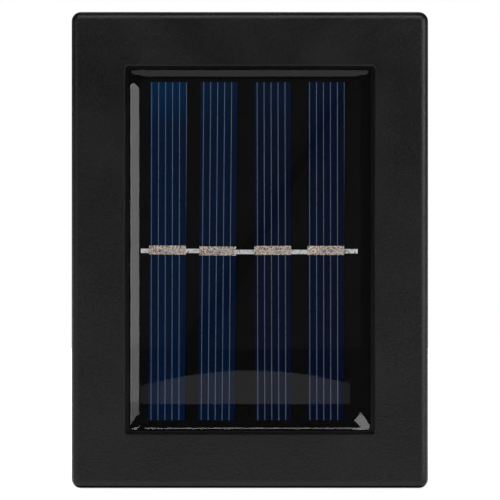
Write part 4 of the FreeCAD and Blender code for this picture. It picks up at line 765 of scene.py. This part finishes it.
# ---------------------------------------------------------------- light windows
# Clear polycarbonate, moulded with flutes on the inside that spread the light, and bonded into the
# top and the bottom of the case.
polycarbonate = clear_plastic("clear_polycarbonate", moulded_skin, {
    "Pit size": 0.0012, "Pit depth": 0.05, "Cloud size": 0.01,
}, 1.585, 0.05, (0.96, 0.975, 0.975, 1))
dress(polycarbonate, "upper_lens", "lower_lens")

# ---------------------------------------------------------------- reflectors
# Trays of glossy white ABS behind the windows. They are staked to the LED boards.
white_abs = finish_of("white_abs", moulded_skin, {
    "Colour": (0.80, 0.80, 0.77, 1), "Cloud colour": (0.84, 0.84, 0.82, 1), "Cloud size": 0.012,
    "Pit size": 0.0003, "Pit depth": 0.08, "Roughness": 0.3, "Roughness spread": 0.06,
})
dress(white_abs, "upper_reflector", "lower_reflector")
for name in ("upper_reflector", "upper_leds", "upper_led_board", "upper_lens"):
    window_light.objects.link(nodes[name])

# ---------------------------------------------------------------- LEDs and their boards
# White-masked strips of board with four LEDs each. Every package has a cup filled with yellow
# phosphor in clear silicone, which stands a little proud of its rim.
white_mask = finish_of("white_masked_board", printed_board, {
    "Colour": (0.72, 0.72, 0.70, 1), "Weave colour": (0.66, 0.67, 0.62, 1), "Weave size": 0.0006,
    "Weave depth": 0.1, "Roughness": 0.35,
})
dress(white_mask, "upper_led_board", "lower_led_board")
led_package = finish_of("white_led_package", moulded_skin, {
    "Colour": (0.78, 0.77, 0.72, 1), "Cloud colour": (0.82, 0.81, 0.77, 1), "Cloud size": 0.001,
    "Pit size": 0.0001, "Pit depth": 0.15, "Roughness": 0.35, "Roughness spread": 0.06,
})
dress(led_package, "upper_leds", "lower_leds")
phosphor = finish_of("yellow_phosphor", moulded_skin, {
    "Colour": (0.72, 0.46, 0.03, 1), "Cloud colour": (0.80, 0.56, 0.05, 1), "Cloud size": 0.0008,
    "Pit size": 0.00008, "Pit depth": 0.1, "Roughness": 0.2, "Roughness spread": 0.04,
}, Coat_Weight=0.6, Coat_Roughness=0.08)
CUP_R, CUP_FLOOR_Z, DOT_RIM, DOT_RISE = 1.08, 45.51, 0.22, 0.34
DOT_FACETS = 24
LED_X, LED_Y = (-12, -4, 4, 12), -18.25


def turned_piece(name, profile, facets, axis="Y"):
    """Closed solid turned from a profile of (radius, advance) that starts and ends on its axis."""
    bm = bmesh.new()
    turns = [2 * math.pi * i / facets for i in range(facets)]
    spots = [(math.cos(a), math.sin(a)) for a in turns]
    place = (lambda u, v, w: (u, w, v)) if axis == "Y" else (lambda u, v, w: (u, v, w))
    rings = []
    for radius, advance in profile:
        if radius == 0:
            rings.append([bm.verts.new(place(0, 0, advance))])
        else:
            rings.append([bm.verts.new(place(radius * u, radius * v, advance)) for u, v in spots])
    for a, b in zip(rings, rings[1:]):
        for i in range(facets):
            j = (i + 1) % facets
            corners = [a[i % len(a)], a[j % len(a)], b[j % len(b)], b[i % len(b)]]
            distinct = list(dict.fromkeys(corners))
            if len(distinct) > 2:
                bm.faces.new(distinct)
    mesh = smooth_mesh(name, bm)
    mesh.transform(Matrix.Scale(MM, 4))
    return mesh


dot_profile = [(0, 0), (CUP_R, 0), (CUP_R, DOT_RIM)]
for turned in map(math.radians, (25, 50, 70)):
    dot_profile.append((CUP_R * math.cos(turned), DOT_RIM + (DOT_RISE - DOT_RIM) * math.sin(turned)))
dot_profile.append((0, DOT_RISE))
for side, which in ((1, "upper"), (-1, "lower")):
    dots = [(radius, side * advance) for radius, advance in dot_profile]
    bead = turned_piece(which + "_phosphor", dots, DOT_FACETS, "Z")
    places = [(x * MM, LED_Y * MM, side * CUP_FLOOR_Z * MM) for x in LED_X]
    set_out(which + "_phosphor_beads", bead, places, phosphor, "case", [])

# ---------------------------------------------------------------- push button
# Black silicone cap with a bellows fold and a raised ring that a finger finds in the dark. A nylon
# ring clamps its flange behind the cover.
BUTTON_Z = 12.0
boot_profile = [
    (0, -2.0), (3.3, -2.0), (3.6, -2.25), (3.6, -3.99), (7.25, -3.99), (7.4, -3.85), (7.4, -3.15), (7.25, -3.01),
    (4.6, -3.01), (4.48, -2.85), (4.48, -1.75), (4.42, -1.62), (4.22, -1.5), (4.15, -1.38), (4.22, -1.26),
    (4.42, -1.16), (4.48, -1.04), (4.42, -0.86), (4.25, -0.68), (3.95, -0.56), (3.6, -0.51), (3.25, -0.5),
    (3.05, -0.52), (2.95, -0.6), (2.9, -0.7), (2.8, -0.76), (2.6, -0.78), (1.8, -0.80), (0.9, -0.815), (0, -0.82),
]
BOOT_FACETS = 72
boot_mesh = turned_piece("rubber_boot", boot_profile, BOOT_FACETS)
boot_mesh.transform(Matrix.Translation((0, 0, BUTTON_Z * MM)))
boot = new_object("rubber_boot", boot_mesh)
black_silicone = finish_of("black_silicone", moulded_skin, {
    "Colour": (0.016, 0.016, 0.0165, 1), "Cloud colour": (0.022, 0.022, 0.0225, 1), "Cloud size": 0.004,
    "Pit size": 0.00015, "Pit depth": 0.15, "Roughness": 0.5, "Roughness spread": 0.08,
}, Sheen_Weight=0.15)
boot_mesh.materials.append(black_silicone)
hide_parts("button_boot")
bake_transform(boot)
black_nylon = finish_of("black_nylon", moulded_skin, {
    "Colour": (0.030, 0.030, 0.032, 1), "Cloud colour": (0.038, 0.038, 0.040, 1), "Cloud size": 0.006,
    "Pit size": 0.0002, "Pit depth": 0.15, "Roughness": 0.42, "Roughness spread": 0.06,
})
dress(black_nylon, "boot_ring")

# ---------------------------------------------------------------- switch
# Push switch on the circuit board: a nylon body, an acetal plunger that the cap presses, and a
# coil spring of steel wire under the plunger.
dress(black_nylon, "switch_body")
acetal = finish_of("natural_acetal", moulded_skin, {
    "Colour": (0.76, 0.76, 0.72, 1), "Cloud colour": (0.80, 0.80, 0.77, 1), "Cloud size": 0.003,
    "Pit size": 0.0002, "Pit depth": 0.1, "Roughness": 0.35, "Roughness spread": 0.05,
}, Subsurface_Weight=0.1, Subsurface_Scale=0.001)
dress(acetal, "switch_plunger")


def coil_tree(name):
    """Geometry Nodes that wind round wire into a spring with closed ends."""
    tree = bpy.data.node_groups.new(name, "GeometryNodeTree")
    sockets = tree.interface.new_socket
    sockets("Geometry", in_out="INPUT", socket_type="NodeSocketGeometry")
    for label in ("Turns", "First radius", "Last radius", "Length", "Wire radius"):
        sockets(label, in_out="INPUT", socket_type="NodeSocketFloat")
    sockets("Along", in_out="INPUT", socket_type="NodeSocketRotation")
    sockets("Finish", in_out="INPUT", socket_type="NodeSocketMaterial")
    sockets("Geometry", in_out="OUTPUT", socket_type="NodeSocketGeometry")
    given = tree.nodes.new("NodeGroupInput").outputs
    end = tree.nodes.new("NodeGroupOutput").inputs
    path = add(tree, "GeometryNodeCurveSpiral", Resolution=36, Rotations=given["Turns"],
               Start_Radius=given["First radius"], End_Radius=given["Last radius"], Height=given["Length"])
    ring = add(tree, "GeometryNodeCurvePrimitiveCircle", Resolution=12, Radius=given["Wire radius"])
    wire = add(tree, "GeometryNodeCurveToMesh", Curve=path.outputs[0], Profile_Curve=ring.outputs[0], Fill_Caps=True)
    placed = add(tree, "GeometryNodeInstanceOnPoints", Points=given["Geometry"], Instance=wire.outputs[0],
                 Rotation=given["Along"])
    real = add(tree, "GeometryNodeRealizeInstances", Geometry=placed.outputs[0])
    smooth = add(tree, "GeometryNodeSetShadeSmooth", Geometry=real.outputs[0])
    dressed = add(tree, "GeometryNodeSetMaterial", Geometry=smooth.outputs[0], Material=given["Finish"])
    tree.links.new(dressed.outputs[0], end["Geometry"])
    return tree


coil = coil_tree("coil_spring")
spring_steel = finish_of("nickelled_spring_steel", worked_metal, {
    "Colour": (0.60, 0.60, 0.58, 1), "Tarnish colour": (0.42, 0.41, 0.38, 1), "Tarnish": 0.3,
    "Mottle size": 0.0015, "Roughness": 0.24, "Tarnished roughness": 0.4, "Scratch size": 0.0001,
    "Scratch depth": 0.15,
}, Metallic=1.0)
WIRE_R, COIL_R, COIL_SEAT_Y, COIL_LENGTH = 0.18, 1.6, -14.0, 3.9
spring = made_by(coil, "wound_switch_spring", [(0, (COIL_SEAT_Y + WIRE_R) * MM, BUTTON_Z * MM)], {
    "Turns": 4.0, "First radius": COIL_R * MM, "Last radius": COIL_R * MM, "Length": (COIL_LENGTH - 2 * WIRE_R) * MM,
    "Wire radius": WIRE_R * MM, "Along": (math.radians(-90), 0, 0), "Finish": spring_steel,
})
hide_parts("switch_spring")
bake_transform(spring)

# ---------------------------------------------------------------- circuit board
# Green-masked board with the charging circuit: a chip, an inductor, a capacitor, a diode and five
# chip resistors, all surface mounted, and the solder cones of the leads.
green_mask = finish_of("green_masked_board", printed_board, {
    "Colour": (0.010, 0.085, 0.030, 1), "Weave colour": (0.022, 0.150, 0.055, 1), "Weave size": 0.0007,
    "Weave depth": 0.15, "Roughness": 0.32,
}, Coat_Weight=0.4, Coat_Roughness=0.15)
dress(green_mask, "main_board")
black_epoxy = finish_of("black_epoxy_package", moulded_skin, {
    "Colour": (0.018, 0.018, 0.019, 1), "Cloud colour": (0.026, 0.026, 0.027, 1), "Cloud size": 0.002,
    "Pit size": 0.0001, "Pit depth": 0.3, "Roughness": 0.55, "Roughness spread": 0.08,
})
dress(black_epoxy, "driver_chip", "blocking_diode", "chip_resistors")
sintered_ferrite = finish_of("sintered_ferrite", moulded_skin, {
    "Colour": (0.045, 0.045, 0.048, 1), "Cloud colour": (0.062, 0.060, 0.060, 1), "Cloud size": 0.0015,
    "Pit size": 0.0002, "Pit depth": 0.4, "Roughness": 0.5, "Roughness spread": 0.1,
})
dress(sintered_ferrite, "boost_inductor")
drawn_aluminium = finish_of("drawn_aluminium", worked_metal, {
    "Colour": (0.66, 0.67, 0.68, 1), "Tarnish colour": (0.52, 0.52, 0.53, 1), "Tarnish": 0.3, "Mottle size": 0.003,
    "Roughness": 0.3, "Tarnished roughness": 0.42, "Scratch size": 0.00015, "Scratch depth": 0.2,
}, Metallic=1.0)
dress(drawn_aluminium, "storage_capacitor")

# ---------------------------------------------------------------- battery
# Rechargeable AA cell in a plain green shrink sleeve. It lies in a nylon trough between a plate
# contact and a conical spring of nickel-plated wire.
nickel_plate = finish_of("nickel_plate", worked_metal, {
    "Colour": (0.62, 0.61, 0.58, 1), "Tarnish colour": (0.45, 0.44, 0.41, 1), "Tarnish": 0.35, "Mottle size": 0.004,
    "Roughness": 0.22, "Tarnished roughness": 0.4, "Scratch size": 0.0003, "Scratch depth": 0.12,
}, Metallic=1.0)
dress(nickel_plate, "battery_cell", "battery_contact", "battery_spring")
shrink_sleeve = finish_of("green_shrink_sleeve", moulded_skin, {
    "Colour": (0.008, 0.115, 0.040, 1), "Cloud colour": (0.011, 0.135, 0.048, 1), "Cloud size": 0.01,
    "Pit size": 0.0008, "Pit depth": 0.1, "Roughness": 0.25, "Roughness spread": 0.08,
}, Coat_Weight=0.3, Coat_Roughness=0.1)
dress(shrink_sleeve, "battery_sleeve")
dress(black_nylon, "battery_holder")

# ---------------------------------------------------------------- leads
# Stranded copper wire in black and red PVC, from the panel, the battery and both LED boards to the
# circuit board.
LEAD_RED, LEAD_RED_CLOUD = (0.36, 0.012, 0.012, 1), (0.42, 0.020, 0.018, 1)
LEAD_BLACK, LEAD_BLACK_CLOUD = (0.016, 0.016, 0.016, 1), (0.022, 0.022, 0.022, 1)
for colour, cloud, name in ((LEAD_RED, LEAD_RED_CLOUD, "red"), (LEAD_BLACK, LEAD_BLACK_CLOUD, "black")):
    pvc = finish_of(name + "_pvc", moulded_skin, {
        "Colour": colour, "Cloud colour": cloud, "Cloud size": 0.004, "Pit size": 0.0003, "Pit depth": 0.15,
        "Roughness": 0.38, "Roughness spread": 0.06,
    })
    dress(pvc, *(n for n in nodes if n.endswith("lead_" + name)))
